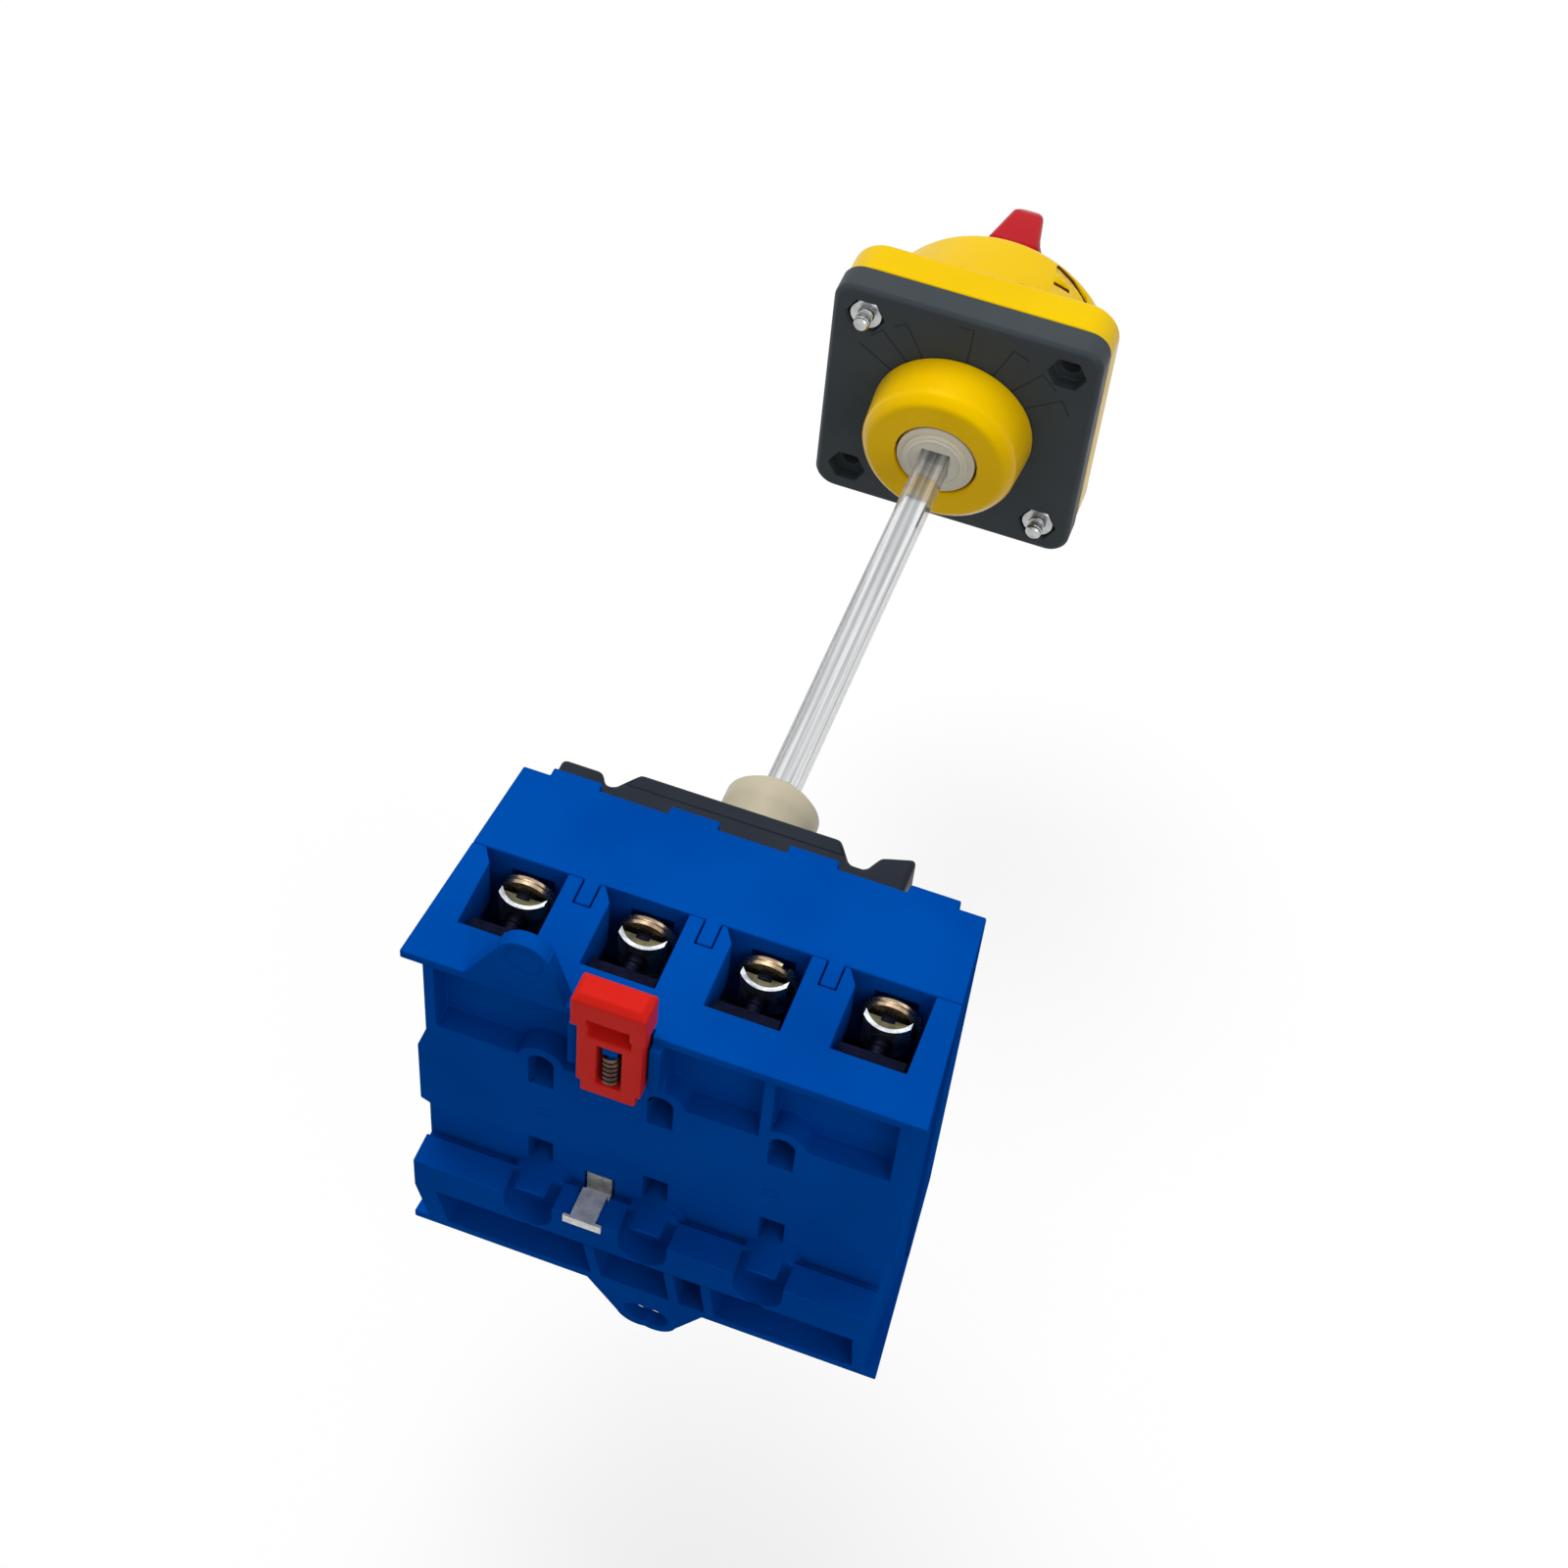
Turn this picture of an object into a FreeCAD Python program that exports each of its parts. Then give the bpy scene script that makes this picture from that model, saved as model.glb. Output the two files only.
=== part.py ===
import FreeCAD, Part
import os
import re
import Sketcher

os.makedirs("parts", exist_ok=True)
doc = FreeCAD.newDocument("switch_disconnector")
V = FreeCAD.Vector

# Driving sizes in millimetres and degrees. X runs across the poles, Y to the rail, Z up.
# The origin lies on the rail seat plane, on the axis of the drive shaft.
SIZES = [
    ("over", 1.0, "how far a cutter runs past a face"),
    ("joint_gap", 0.02, "play between faces that meet"),
    ("pole_pitch", 17.5, "pitch of the four poles"),
    ("pole_first", 20.0, "centre of the first pole from the shaft axis"),
    ("side_near", 30.5, "near rear corner of the upper wall from the shaft axis"),
    ("side_far", 43.0, "far rear corner of the upper wall from the shaft axis"),
    ("flare", 2.85, "upper and lower wall wider at the rear than in front, each side"),
    ("inset", 2.3, "side walls set in from the rear corners"),
    ("half_high", 34.4, "half the height over both terminal faces"),
    ("skin", 1.6, "outer wall of the housing"),
    ("rib", 1.6, "thickness of the ribs between the rear pockets"),
    ("seam_y", 18.4, "joint face between base and cover, ahead of the rail seat"),
    ("cover_y", 33.3, "front face of the cover"),
    ("tab_y", 1.4, "step of the castellated cover edge"),
    ("tab_wide", 7.3, "width of a raised step of the cover edge"),
    ("tab_high", 5.0, "height of a raised step of the cover edge"),
    ("key_wide", 2.2, "width of the keys between cover and base"),
    ("key_deep", 4.0, "length of the keys between cover and base"),
    ("key_play", 0.2, "clearance round the keys"),
    ("roof_back", 1.8, "upper wall behind the rail seat"),
    ("foot_back", 2.3, "foot edge behind the rail seat"),
    ("rear_deep", 3.8, "depth of the rear pockets ahead of the rail seat"),
    ("rail_mid", 5.4, "middle of the mounting rail above the shaft axis"),
    ("rail_half", 17.5, "half the width of the mounting rail"),
    ("rail_thick", 1.0, "thickness of the rail flange"),
    ("rail_play", 0.3, "clearance round the rail flange"),
    ("ledge_lap", 1.3, "height of the ledge behind the lower rail flange"),
    ("ledge_back", 6.2, "rear edge of the ledge, inside a 7.5 mm deep rail"),
    ("ledge_high", 6.6, "height of the rear face of the ledge"),
    ("seat_top", 16.2, "upper edge of the rail seat face"),
    ("seat_high", 9.6, "upper end of the seat ears at the sides"),
    ("seat_low", 3.9, "lower end of the seat ears at the sides"),
    ("seat_out", 1.4, "seat ears stand out from the side walls"),
    ("rib_a", 10.4, "first rib between the lower rear pockets"),
    ("rib_b", 16.0, "second rib between the lower rear pockets"),
    ("rib_c", 20.4, "rib between the upper rear pockets"),
    ("ear_thick", 2.4, "thickness of the fixing ears"),
    ("ear_r", 3.8, "outer radius of the fixing ears"),
    ("ear_x", 12.9, "centre of the upper ear from the shaft axis"),
    ("ear_rise", 6.8, "centre of the upper ear above the upper wall"),
    ("ear_mark", 2.8, "radius of the blind mark in the upper ear"),
    ("slot_x", 7.0, "centre of the lower ear from the shaft axis"),
    ("slot_drop", 5.3, "centre of the lower ear below the foot"),
    ("slot_span", 2.4, "length of the slot in the lower ear between its lobes"),
    ("slot_r", 2.3, "radius at both ends of the slot in the lower ear"),
    ("cell_wide", 13.6, "inside width of a pole chamber"),
    ("cell_floor", 6.9, "rear wall of the pole chambers"),
    ("mouth_wide", 10.6, "width of a terminal mouth"),
    ("mouth_deep", 8.6, "depth of the mouth from the terminal face"),
    ("mouth_back", 5.4, "rear edge of the mouth"),
    ("mouth_lead", 1.5, "bevelled corner where the mouth meets the seam"),
    ("bar_half", 4.6, "half width of a terminal bar"),
    ("bar_thick", 1.5, "thickness of a terminal bar"),
    ("bar_in", 6.0, "inner end of the terminal bars from the middle"),
    ("bar_short", 2.4, "outer end of the terminal bars below the terminal face"),
    ("tip_thick", 0.8, "thickness of the contact tips"),
    ("tip_wide", 2.6, "half width of the contact tips and bridges"),
    ("tip_z", 8.5, "height of the contact tips"),
    ("tip_half", 1.7, "half height of the contact tips"),
    ("tip_less", 0.1, "moving tips smaller than the bridge and the fixed tips"),
    ("bridge_thick", 1.2, "thickness of a contact bridge"),
    ("bridge_half", 11.0, "half length of a contact bridge"),
    ("gap_open", 4.1, "open gap at each contact"),
    ("stroke", 4.0, "travel of the contact carriage"),
    ("slide_play", 0.6, "clearance round the sliding crossbar"),
    ("screw_in", 6.4, "terminal screws in from the terminal faces"),
    ("shank_r", 1.6, "radius of the terminal screws"),
    ("head_r", 4.1, "radius of the terminal screw heads"),
    ("head_y", 17.7, "front face of the screw heads"),
    ("head_thick", 1.9, "thickness of the screw heads"),
    ("slot_wide", 1.1, "width of the screwdriver slot"),
    ("collar_thick", 1.1, "thickness of the collar under a screw head"),
    ("saddle_r", 6.8, "outer radius of the bent wire clamp"),
    ("saddle_half", 4.0, "half width of the bent wire clamp"),
    ("saddle_thick", 1.1, "sheet of the bent wire clamp"),
    ("saddle_down", 2.9, "back of the wire clamp behind the screw head"),
    ("driver_half", 3.1, "half width of the square screwdriver holes"),
    ("window_wide", 3.7, "width of the rear windows"),
    ("window_x", 11.1, "first row of rear windows"),
    ("window_wall", 0.9, "wall left behind the blind rear windows"),
    ("window_low", 10.0, "sill of the upper windows"),
    ("window_arch", 15.5, "centre of the arch over the upper windows"),
    ("arch_r", 3.5, "outer radius of the ridge round an upper window"),
    ("lower_top", 4.1, "upper edge of the lower windows below the axis"),
    ("lower_sill", 10.5, "lower edge of the lower windows below the axis"),
    ("scoop_r", 3.7, "radius of the round bottom of the ledge scoops"),
    ("scoop_side", 0.6, "ledge scoops beside the windows"),
    ("scoop_down", 2.8, "centre of the scoops below the edge of the ledge"),
    ("scoop_lip", 0.6, "lip between the rail slot and the scoops"),
    ("frame_half", 21.2, "half height of the black front frame"),
    ("frame_near", 27.2, "near end of the front frame"),
    ("frame_far", 26.6, "far end of the front frame"),
    ("frame_y", 48.5, "front face of the frame"),
    ("frame_dip", 3.7, "depth of the notches in the frame front"),
    ("tower", 6.4, "length of the end towers of the frame"),
    ("notch", 2.4, "floor of the notches in the frame front"),
    ("notch_side", 1.4, "slope at the sides of the notches"),
    ("tower_drop", 1.7, "near tower lower than the frame front"),
    ("tower_rise", 0.8, "far tower higher than the frame front"),
    ("bearing_wall", 2.5, "front wall of the frame round the hub"),
    ("bearing_gap", 0.35, "radial gap round turning pieces"),
    ("hub_r", 7.65, "radius of the drive hub disc"),
    ("hub_y", 66.7, "front face of the drive hub"),
    ("hub_bevel", 1.1, "bevel of the hub disc"),
    ("disc_thick", 4.2, "thickness of the drive hub disc"),
    ("neck_r", 6.9, "radius of the drive hub neck"),
    ("flange_r", 9.6, "radius of the hub flange"),
    ("flange_y", 43.2, "front face of the hub flange"),
    ("flange_thick", 2.2, "thickness of the hub flange"),
    ("drum_r", 6.25, "radius of the cam drum"),
    ("drum_y", 33.0, "middle of the cam drum, where the follower pins sit"),
    ("drum_end", 24.8, "rear end of the cam drum"),
    ("groove_r", 1.3, "radius of the cam groove"),
    ("groove_lead", 0.15, "groove past each end of the quarter turn, as a share of it"),
    ("pin_r", 0.95, "radius of the follower pins"),
    ("pin_in", 0.9, "follower pins reach inside the sleeve bore"),
    ("sleeve_r", 10.1, "radius of the carriage sleeve"),
    ("sleeve_bore", 6.6, "bore of the carriage sleeve"),
    ("sleeve_front", 40.0, "front end of the carriage sleeve"),
    ("sleeve_back", 23.8, "rear end of the carriage sleeve"),
    ("sleeve_gap", 0.4, "clearance of the sleeve in the cover and the frame"),
    ("crossbar_half", 4.6, "half height of the crossbar"),
    ("crossbar_side", 4.8, "crossbar past the centre of the outer poles"),
    ("crossbar_front", 24.0, "front face of the crossbar"),
    ("cage_half", 3.0, "half width of the bridge cages, inside"),
    ("cage_wall", 1.4, "wall of the bridge cages"),
    ("cage_lip", 1.0, "lip of the bridge cages"),
    ("leaf_thick", 0.32, "thickness of the leaf springs"),
    ("leaf_bow", 1.6, "bow of the leaf springs"),
    ("leaf_half", 7.0, "half length of the leaf springs"),
    ("rod", 5.0, "width across flats of the square shaft"),
    ("rod_fit", 0.08, "clearance of the square shaft in its sockets, each side"),
    ("rod_bevel", 0.35, "bevel of the long edges of the shaft"),
    ("rod_start", 48.5, "rear end of the shaft inside the hub"),
    ("rod_in", 5.9, "front end of the shaft past the handle plate"),
    ("boss_y", 148.2, "rear face of the yellow boss"),
    ("boss_r", 14.6, "radius of the yellow boss"),
    ("boss_bevel", 2.4, "rounded edge of the yellow boss"),
    ("ring_r", 7.0, "radius of the coupling ring"),
    ("ring_out", 0.4, "coupling ring stands out of the boss"),
    ("ring_thick", 2.2, "thickness of the coupling ring"),
    ("plate_y", 158.6, "rear face of the handle plate"),
    ("plate_half", 24.0, "half width of the handle plate"),
    ("plate_thick", 5.6, "thickness of the handle plate"),
    ("plate_corner", 4.0, "corner radius of the handle plate"),
    ("plate_bevel", 0.8, "bevel round the rear face of the handle plate"),
    ("corner_in", 6.0, "handle screws in from the plate edges"),
    ("nut_r", 3.15, "corner radius of the handle nuts"),
    ("nut_thick", 2.3, "thickness of the handle nuts"),
    ("nut_gap", 0.35, "clearance of the nuts in their pockets"),
    ("nut_in", 0.45, "nuts below the rear face of the plate"),
    ("thread_r", 1.5, "radius of the handle screws"),
    ("thread_gap", 0.15, "clearance of the handle screws"),
    ("thread_out", 2.6, "handle screws stand out behind the plate"),
    ("button_r", 2.7, "radius of the handle screw heads"),
    ("button_high", 1.9, "height of the handle screw heads"),
    ("cap_thick", 8.0, "thickness of the square yellow cover"),
    ("cap_corner", 6.0, "corner radius of the yellow cover"),
    ("cap_bevel", 1.4, "bevel round the front of the yellow cover"),
    ("dome_in", 0.9, "foot of the yellow dome in from the plate edges"),
    ("dome_draft", 1.6, "dome narrower in front than at its foot"),
    ("dome_high", 13.4, "height of the dome over the square cover"),
    ("dome_bevel", 2.4, "rounded front edge of the dome"),
    ("neck_wall", 3.6, "wall of the knob neck round the flats of the shaft"),
    ("neck_room", 1.9, "clearance round the knob neck in the plate"),
    ("flange_in", 3.6, "knob flange in from the dome edge"),
    ("knob_play", 0.4, "gap between the dome and the knob flange"),
    ("knob_flange", 3.0, "thickness of the knob flange"),
    ("grip_high", 15.4, "height of the grip over the dome"),
    ("grip_in", 2.6, "ends of the grip in from the dome edge"),
    ("grip_foot", 4.8, "half width of the grip at its foot"),
    ("grip_top", 2.3, "half width of the grip at its top"),
    ("grip_slant", 4.0, "ends of the grip lean in"),
    ("latch_x", -0.4, "centre of the rail latch"),
    ("latch_half", 4.6, "half width of the latch body"),
    ("latch_lap", 2.2, "lower tip of the latch below the upper rail edge"),
    ("latch_step", 0.7, "latch tip narrower than its body, each side"),
    ("latch_up", 8.9, "latch stands above the upper wall"),
    ("latch_head", 6.5, "height of the latch head"),
    ("latch_wider", 0.6, "latch head wider than the body, each side"),
    ("latch_thicker", 0.9, "latch head thicker than the body at the back"),
    ("latch_bevel", 0.9, "bevel round the top of the latch"),
    ("latch_play", 0.3, "clearance beside the latch body"),
    ("latch_near", 1.4, "front face of the latch"),
    ("latch_back", 4.6, "rear face of the latch"),
    ("latch_floor", 0.9, "floor of the screwdriver pocket in the latch"),
    ("pocket_half", 3.0, "half width of the screwdriver pocket"),
    ("pocket_high", 5.0, "height of the screwdriver pocket"),
    ("slot_half", 1.75, "half width of the spring slot in the latch"),
    ("slot_rise", 0.5, "spring slot above the upper rail edge"),
    ("slot_above", 1.8, "spring slot above the peg"),
    ("latch_top_wall", 10.4, "screwdriver pocket above the lower end of the spring slot"),
    ("peg_in", 4.0, "peg of the latch spring below the terminal face"),
    ("peg_thick", 1.3, "thickness of the peg"),
    ("peg_half", 1.1, "half width of the peg"),
    ("spigot_r", 0.7, "radius of the spigots inside the latch spring"),
    ("spigot_long", 1.6, "length of the spigots inside the latch spring"),
    ("wire_r", 0.28, "wire radius of the latch spring"),
    ("coil_r", 1.15, "mean radius of the latch spring"),
    ("clip_x", 2.0, "centre of the metal rail clip"),
    ("clip_half", 1.9, "half width of the metal rail clip"),
    ("clip_gap", 0.05, "play between the clip and the ledge"),
    ("clip_up", 2.2, "rail clip above the edge of the ledge"),
    ("clip_drop", 1.3, "hook of the rail clip behind the ledge"),
    ("clip_wider", 1.0, "hook of the rail clip wider than its strip, each side"),
    ("sheet_t", 0.4, "thickness of the rail clip strip"),
    ("tie_r", 1.3, "radius of the body screws"),
    ("tie_in", 5.8, "body screws in from the terminal faces"),
    ("tie_head", 2.4, "head radius of the body screws"),
    ("tie_deep", 6.0, "body screws reach into the base"),
]
NAMES = sorted((name for name, size, note in SIZES), key=len, reverse=True)
VALUE = {name: size for name, size, note in SIZES}
PATTERN = re.compile(r"\b(" + "|".join(NAMES) + r")\b")

sheet = doc.addObject("Spreadsheet::Sheet", "dims")
sheet.Label = "dims"
for row, (name, size, note) in enumerate(SIZES, start=1):
    sheet.set("A%d" % row, name)
    sheet.set("B%d" % row, str(size))
    sheet.set("C%d" % row, note)
    sheet.setAlias("B%d" % row, name)
doc.recompute()


def bound(text):
    """Point every named size in an expression at the sheet."""
    return PATTERN.sub(r"dims.\1", str(text))


def bind(obj, **rules):
    for prop, rule in rules.items():
        obj.setExpression(prop.replace("__", "."), bound(rule))


def place(obj, x, y, z):
    bind(obj, Placement__Base__x=x, Placement__Base__y=y, Placement__Base__z=z)
    return obj


COUNT = {}


def fresh(stem):
    COUNT[stem] = COUNT.get(stem, 0) + 1
    return "%s_%d" % (stem, COUNT[stem])


def box(x0, x1, y0, y1, z0, z1):
    """A block between six planes, each given as an expression."""
    obj = doc.addObject("Part::Box", fresh("block"))
    bind(obj, Length="(%s) - (%s)" % (x1, x0))
    bind(obj, Width="(%s) - (%s)" % (y1, y0))
    bind(obj, Height="(%s) - (%s)" % (z1, z0))
    return place(obj, x0, y0, z0)


TURN = {"X": FreeCAD.Rotation(V(0, 1, 0), 90), "Y": FreeCAD.Rotation(V(1, 0, 0), -90),
        "Z": FreeCAD.Rotation()}


def rod(axis, radius, length, x, y, z):
    """A cylinder that runs from the point x, y, z along one axis."""
    obj = doc.addObject("Part::Cylinder", fresh("rod"))
    obj.Placement = FreeCAD.Placement(V(0, 0, 0), TURN[axis])
    bind(obj, Radius=radius, Height=length)
    return place(obj, x, y, z)


def taper(axis, radius_a, radius_b, length, x, y, z):
    obj = doc.addObject("Part::Cone", fresh("taper"))
    obj.Placement = FreeCAD.Placement(V(0, 0, 0), TURN[axis])
    bind(obj, Radius1=radius_a, Radius2=radius_b, Height=length)
    return place(obj, x, y, z)


def hexagon(radius, length, x, y, z):
    obj = doc.addObject("Part::Prism", fresh("hexagon"))
    obj.Polygon = 6
    obj.Placement = FreeCAD.Placement(V(0, 0, 0), TURN["Y"])
    bind(obj, Circumradius=radius, Height=length)
    return place(obj, x, y, z)


def join(shapes):
    if len(shapes) == 1:
        return shapes[0]
    obj = doc.addObject("Part::MultiFuse", fresh("join"))
    obj.Shapes = shapes
    return obj


def cut(base, tools):
    obj = doc.addObject("Part::Cut", fresh("cut"))
    obj.Base = base
    obj.Tool = join(tools)
    return obj


def overlap(shapes):
    obj = doc.addObject("Part::MultiCommon", fresh("overlap"))
    obj.Shapes = shapes
    return obj


def group(shapes):
    obj = doc.addObject("Part::Compound", fresh("group"))
    obj.Links = shapes
    return obj


def plane_of(body, role):
    return next(item for item in body.Origin.OriginFeatures if item.Role == role)


def sketch(body, role, corners, shift="0"):
    """A closed outline on one origin plane; each corner is a pair of expressions."""
    obj = body.newObject("Sketcher::SketchObject", fresh("outline"))
    obj.AttachmentSupport = [(plane_of(body, role), "")]
    obj.MapMode = "FlatFace"
    obj.setExpression("AttachmentOffset.Base.z", bound(shift))
    spots = [(sheet_value(a), sheet_value(b)) for a, b in corners]
    total = len(spots)
    for here in range(total):
        a, b = spots[here], spots[(here + 1) % total]
        obj.addGeometry(Part.LineSegment(V(a[0], a[1], 0), V(b[0], b[1], 0)), False)
    for here in range(total):
        obj.addConstraint(Sketcher.Constraint("Coincident", here, 2, (here + 1) % total, 1))
    for here, (a, b) in enumerate(corners):
        for kind, rule, spot in (("DistanceX", a, spots[here][0]), ("DistanceY", b, spots[here][1])):
            index = obj.addConstraint(Sketcher.Constraint(kind, -1, 1, here, 1, spot))
            obj.setExpression("Constraints[%d]" % index, bound(rule))
    return obj


def sheet_value(rule):
    """The number that an expression gives with the sizes in the sheet."""
    probe = doc.getObject("probe")
    if probe is None:
        probe = doc.addObject("App::FeaturePython", "probe")
        probe.addProperty("App::PropertyFloat", "Reading")
    probe.setExpression("Reading", bound(rule))
    probe.recompute()
    return probe.Reading


def body(stem):
    return doc.addObject("PartDesign::Body", fresh(stem))


def pad(owner, outline, length, middle=False, back=False):
    obj = owner.newObject("PartDesign::Pad", fresh("pad"))
    obj.Profile = outline
    obj.Midplane = middle
    obj.Reversed = back
    bind(obj, Length=length)
    outline.Visibility = False
    doc.recompute()
    return obj


def turned(owner, outline):
    """A body of revolution round the sketch's vertical axis."""
    obj = owner.newObject("PartDesign::Revolution", fresh("turned"))
    obj.Profile = outline
    obj.ReferenceAxis = (outline, ["V_Axis"])
    obj.Angle = 360
    doc.recompute()
    return obj


def soften(owner, feature, pick, rule, kind="Fillet"):
    """Round or bevel the edges that pick accepts."""
    names = ["Edge%d" % (i + 1) for i, edge in enumerate(feature.Shape.Edges) if pick(edge)]
    obj = owner.newObject("PartDesign::" + kind, fresh(kind.lower()))
    obj.Base = (feature, names)
    bind(obj, **{"Radius" if kind == "Fillet" else "Size": rule})
    doc.recompute()
    return obj


def upright(edge):
    """True for a straight edge that runs along Y."""
    box_ = edge.BoundBox
    return box_.YLength > 0.5 and box_.XLength < 0.01 and box_.ZLength < 0.01


PARTS = []


def deliver(obj, name):
    obj.Label = name
    PARTS.append((obj, name))
    return obj


def pole_x(i):
    return "pole_first - %d * pole_pitch" % i


# Base housing: side walls from a profile of the back, walls that flare to the rear, ears from outlines.
WALL_NEAR = "side_near - inset"
WALL_FAR = "-side_far + inset"
RAIL_TOP = "rail_mid + rail_half"
RAIL_LOW = "rail_mid - rail_half"
SLOT_LOW = RAIL_LOW + " - rail_play"
SLOT_BACK = "rail_thick + rail_play"
LIP_TOP = RAIL_LOW + " + ledge_lap"
LEDGE_LOW = LIP_TOP + " - ledge_high"
SCREW_Z = "half_high - screw_in"
TIE_Z = "half_high - tie_in"
MOUTH_END = "half_high - mouth_deep"

shell = body("base_profile")
profile = sketch(shell, "YZ_Plane", [
    ("-seam_y", "half_high"),
    ("roof_back", "half_high"),
    ("roof_back", "half_high - skin"),
    ("0", "half_high - skin"),
    ("0", SLOT_LOW),
    (SLOT_BACK, SLOT_LOW),
    (SLOT_BACK, LIP_TOP),
    ("ledge_back", LIP_TOP),
    ("ledge_back", LEDGE_LOW),
    ("foot_back", "-half_high + skin"),
    ("foot_back", "-half_high"),
    ("-seam_y", "-half_high"),
], WALL_FAR)
pad(shell, profile, "side_near + side_far - 2 * inset")


def narrowing(y, back):
    """How much a flaring wall has narrowed at a distance y ahead of the rail seat."""
    return "flare * (%s + %s) / (cover_y + %s)" % (y, back, back)


def flared(stem, back, low):
    """A wall that is widest at its rear edge and narrows towards the cover."""
    owner = body(stem)
    narrow = narrowing("seam_y", back)
    pad(owner, sketch(owner, "XY_Plane", [
        ("side_near", back), ("side_near - " + narrow, "-seam_y"),
        ("-side_far + " + narrow, "-seam_y"), ("-side_far", back),
    ], low), "skin")
    return owner


walls = [shell, flared("roof", "roof_back", "half_high - skin"), flared("floor", "foot_back", "-half_high")]
for edge, sign in ((WALL_NEAR, "+"), (WALL_FAR, "-")):
    seat = body("seat_ear")
    corners = [
        (edge + sign + "(-over)", "seat_high + 3 * seat_out"),
        (edge, "seat_high + 2 * seat_out"),
        (edge + sign + "seat_out", "seat_high"),
        (edge + sign + "seat_out", "-seat_low"),
        (edge, "-seat_low - seat_out / 2"),
        (edge + sign + "(-over)", "-seat_low - seat_out / 2"),
    ]
    pad(seat, sketch(seat, "XZ_Plane", corners if sign == "-" else corners[::-1]), "rear_deep")
    walls.append(seat)

EAR_Z = "half_high + ear_rise"
EAR_Y = "roof_back - ear_thick"
upper = body("upper_ear")
pad(upper, sketch(upper, "XZ_Plane", [
    ("ear_x + 2.2 * ear_r", "half_high - skin"), ("ear_x + 2.2 * ear_r", "half_high"),
    ("ear_x + 0.87 * ear_r", EAR_Z + " + 0.5 * ear_r"), ("ear_x - 0.92 * ear_r", EAR_Z + " + 0.4 * ear_r"),
    ("ear_x - 1.6 * ear_r", "half_high"), ("ear_x - 1.6 * ear_r", "half_high - skin"),
], "-roof_back"), "ear_thick")
walls += [upper, rod("Y", "ear_r", "ear_thick", "ear_x", EAR_Y, EAR_Z)]

LOBES = ["-slot_x + slot_span / 2", "-slot_x - slot_span / 2"]
LOBE_Z = "-half_high - slot_drop"
lower = body("lower_ear")
pad(lower, sketch(lower, "XZ_Plane", [
    (LOBES[0] + " + 2.2 * ear_r", "-half_high + skin"), (LOBES[0] + " + 2.2 * ear_r", "-half_high"),
    (LOBES[0] + " + 0.7 * ear_r", LOBE_Z + " - 0.7 * ear_r"),
    (LOBES[1] + " - 0.7 * ear_r", LOBE_Z + " - 0.7 * ear_r"),
    (LOBES[1] + " - 2 * ear_r", "-half_high"), (LOBES[1] + " - 2 * ear_r", "-half_high + skin"),
], "-foot_back"), "ear_thick")
walls += [lower] + [rod("Y", "ear_r", "ear_thick", x, "foot_back - ear_thick", LOBE_Z) for x in LOBES]

holes = []
for i in range(4):
    x = pole_x(i)
    holes.append(box(x + " - cell_wide / 2", x + " + cell_wide / 2", "-seam_y - over", "-cell_floor",
                     "-(%s)" % MOUTH_END, MOUTH_END))
    for low, high in ((MOUTH_END + " - over", "half_high + over"),
                      ("-half_high - over", "-(%s) + over" % MOUTH_END)):
        holes.append(box(x + " - mouth_wide / 2", x + " + mouth_wide / 2", "-seam_y - over", "-mouth_back",
                         low, high))
        lead = body("mouth_lead")
        pad(lead, sketch(lead, "XY_Plane", [
            (x + " + mouth_wide / 2 - over", "-seam_y - over"),
            (x + " + mouth_wide / 2 + mouth_lead", "-seam_y - over"),
            (x + " + mouth_wide / 2 + mouth_lead", "-seam_y"),
            (x + " + mouth_wide / 2 - over", "-seam_y + 2 * mouth_lead + over"),
        ], low), "(%s) - (%s)" % (high, low))
        holes.append(lead)
KEY_X = ["pole_first - %s * pole_pitch" % (i + 0.5) for i in range(3)]
for x in KEY_X:
    for low, high in (("half_high - skin", "half_high + over"), ("-half_high - over", "-half_high + skin")):
        holes.append(box(x + " - key_wide / 2 - key_play", x + " + key_wide / 2 + key_play",
                         "-seam_y - over", "-seam_y + key_deep + key_play", low, high))
WINDOW_X = ["window_x - %d * pole_pitch" % i for i in range(3)]
for x in WINDOW_X:
    for low, high in (("window_low", "window_arch"), ("-lower_sill", "-lower_top")):
        holes.append(box(x + " - window_wide / 2", x + " + window_wide / 2", "-cell_floor + window_wall",
                         "over", low, high))
LATCH_SIDE = "latch_half + latch_play + rib"
for low, high in (("latch_x + " + LATCH_SIDE, WALL_NEAR + " - rib"),
                  ("-rib_c", "latch_x - (%s)" % LATCH_SIDE),
                  (WALL_FAR + " + rib", "-rib_c - rib")):
    holes.append(box(low, high, "-rear_deep", "over", "seat_top", "half_high - skin"))
for low, high in (("clip_x", WALL_NEAR + " - 2 * rib"), ("-rib_a", "clip_x - rib"),
                  ("-rib_b", "-rib_a - rib"), (WALL_FAR + " + rib", "-rib_b - rib")):
    holes.append(box(low, high, "-rear_deep", "ledge_back + over", "-half_high + skin", LEDGE_LOW))
holes.append(box("latch_x - latch_half - latch_play", "latch_x + latch_half + latch_play",
                 "latch_near - latch_wider + clip_gap - latch_play", "roof_back + over",
                 "half_high - skin - over", "half_high + over"))
BAR_FRONT = "-cell_floor - joint_gap - bar_thick"
BRIDGE_BACK = BAR_FRONT + " - tip_thick - gap_open"
BRIDGE_FRONT = BRIDGE_BACK + " - tip_thick - bridge_thick"
CROSSBAR_BACK = BRIDGE_FRONT + " - leaf_bow - leaf_thick - joint_gap"
OUTER_POLE = "pole_first - 3 * pole_pitch"
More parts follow.
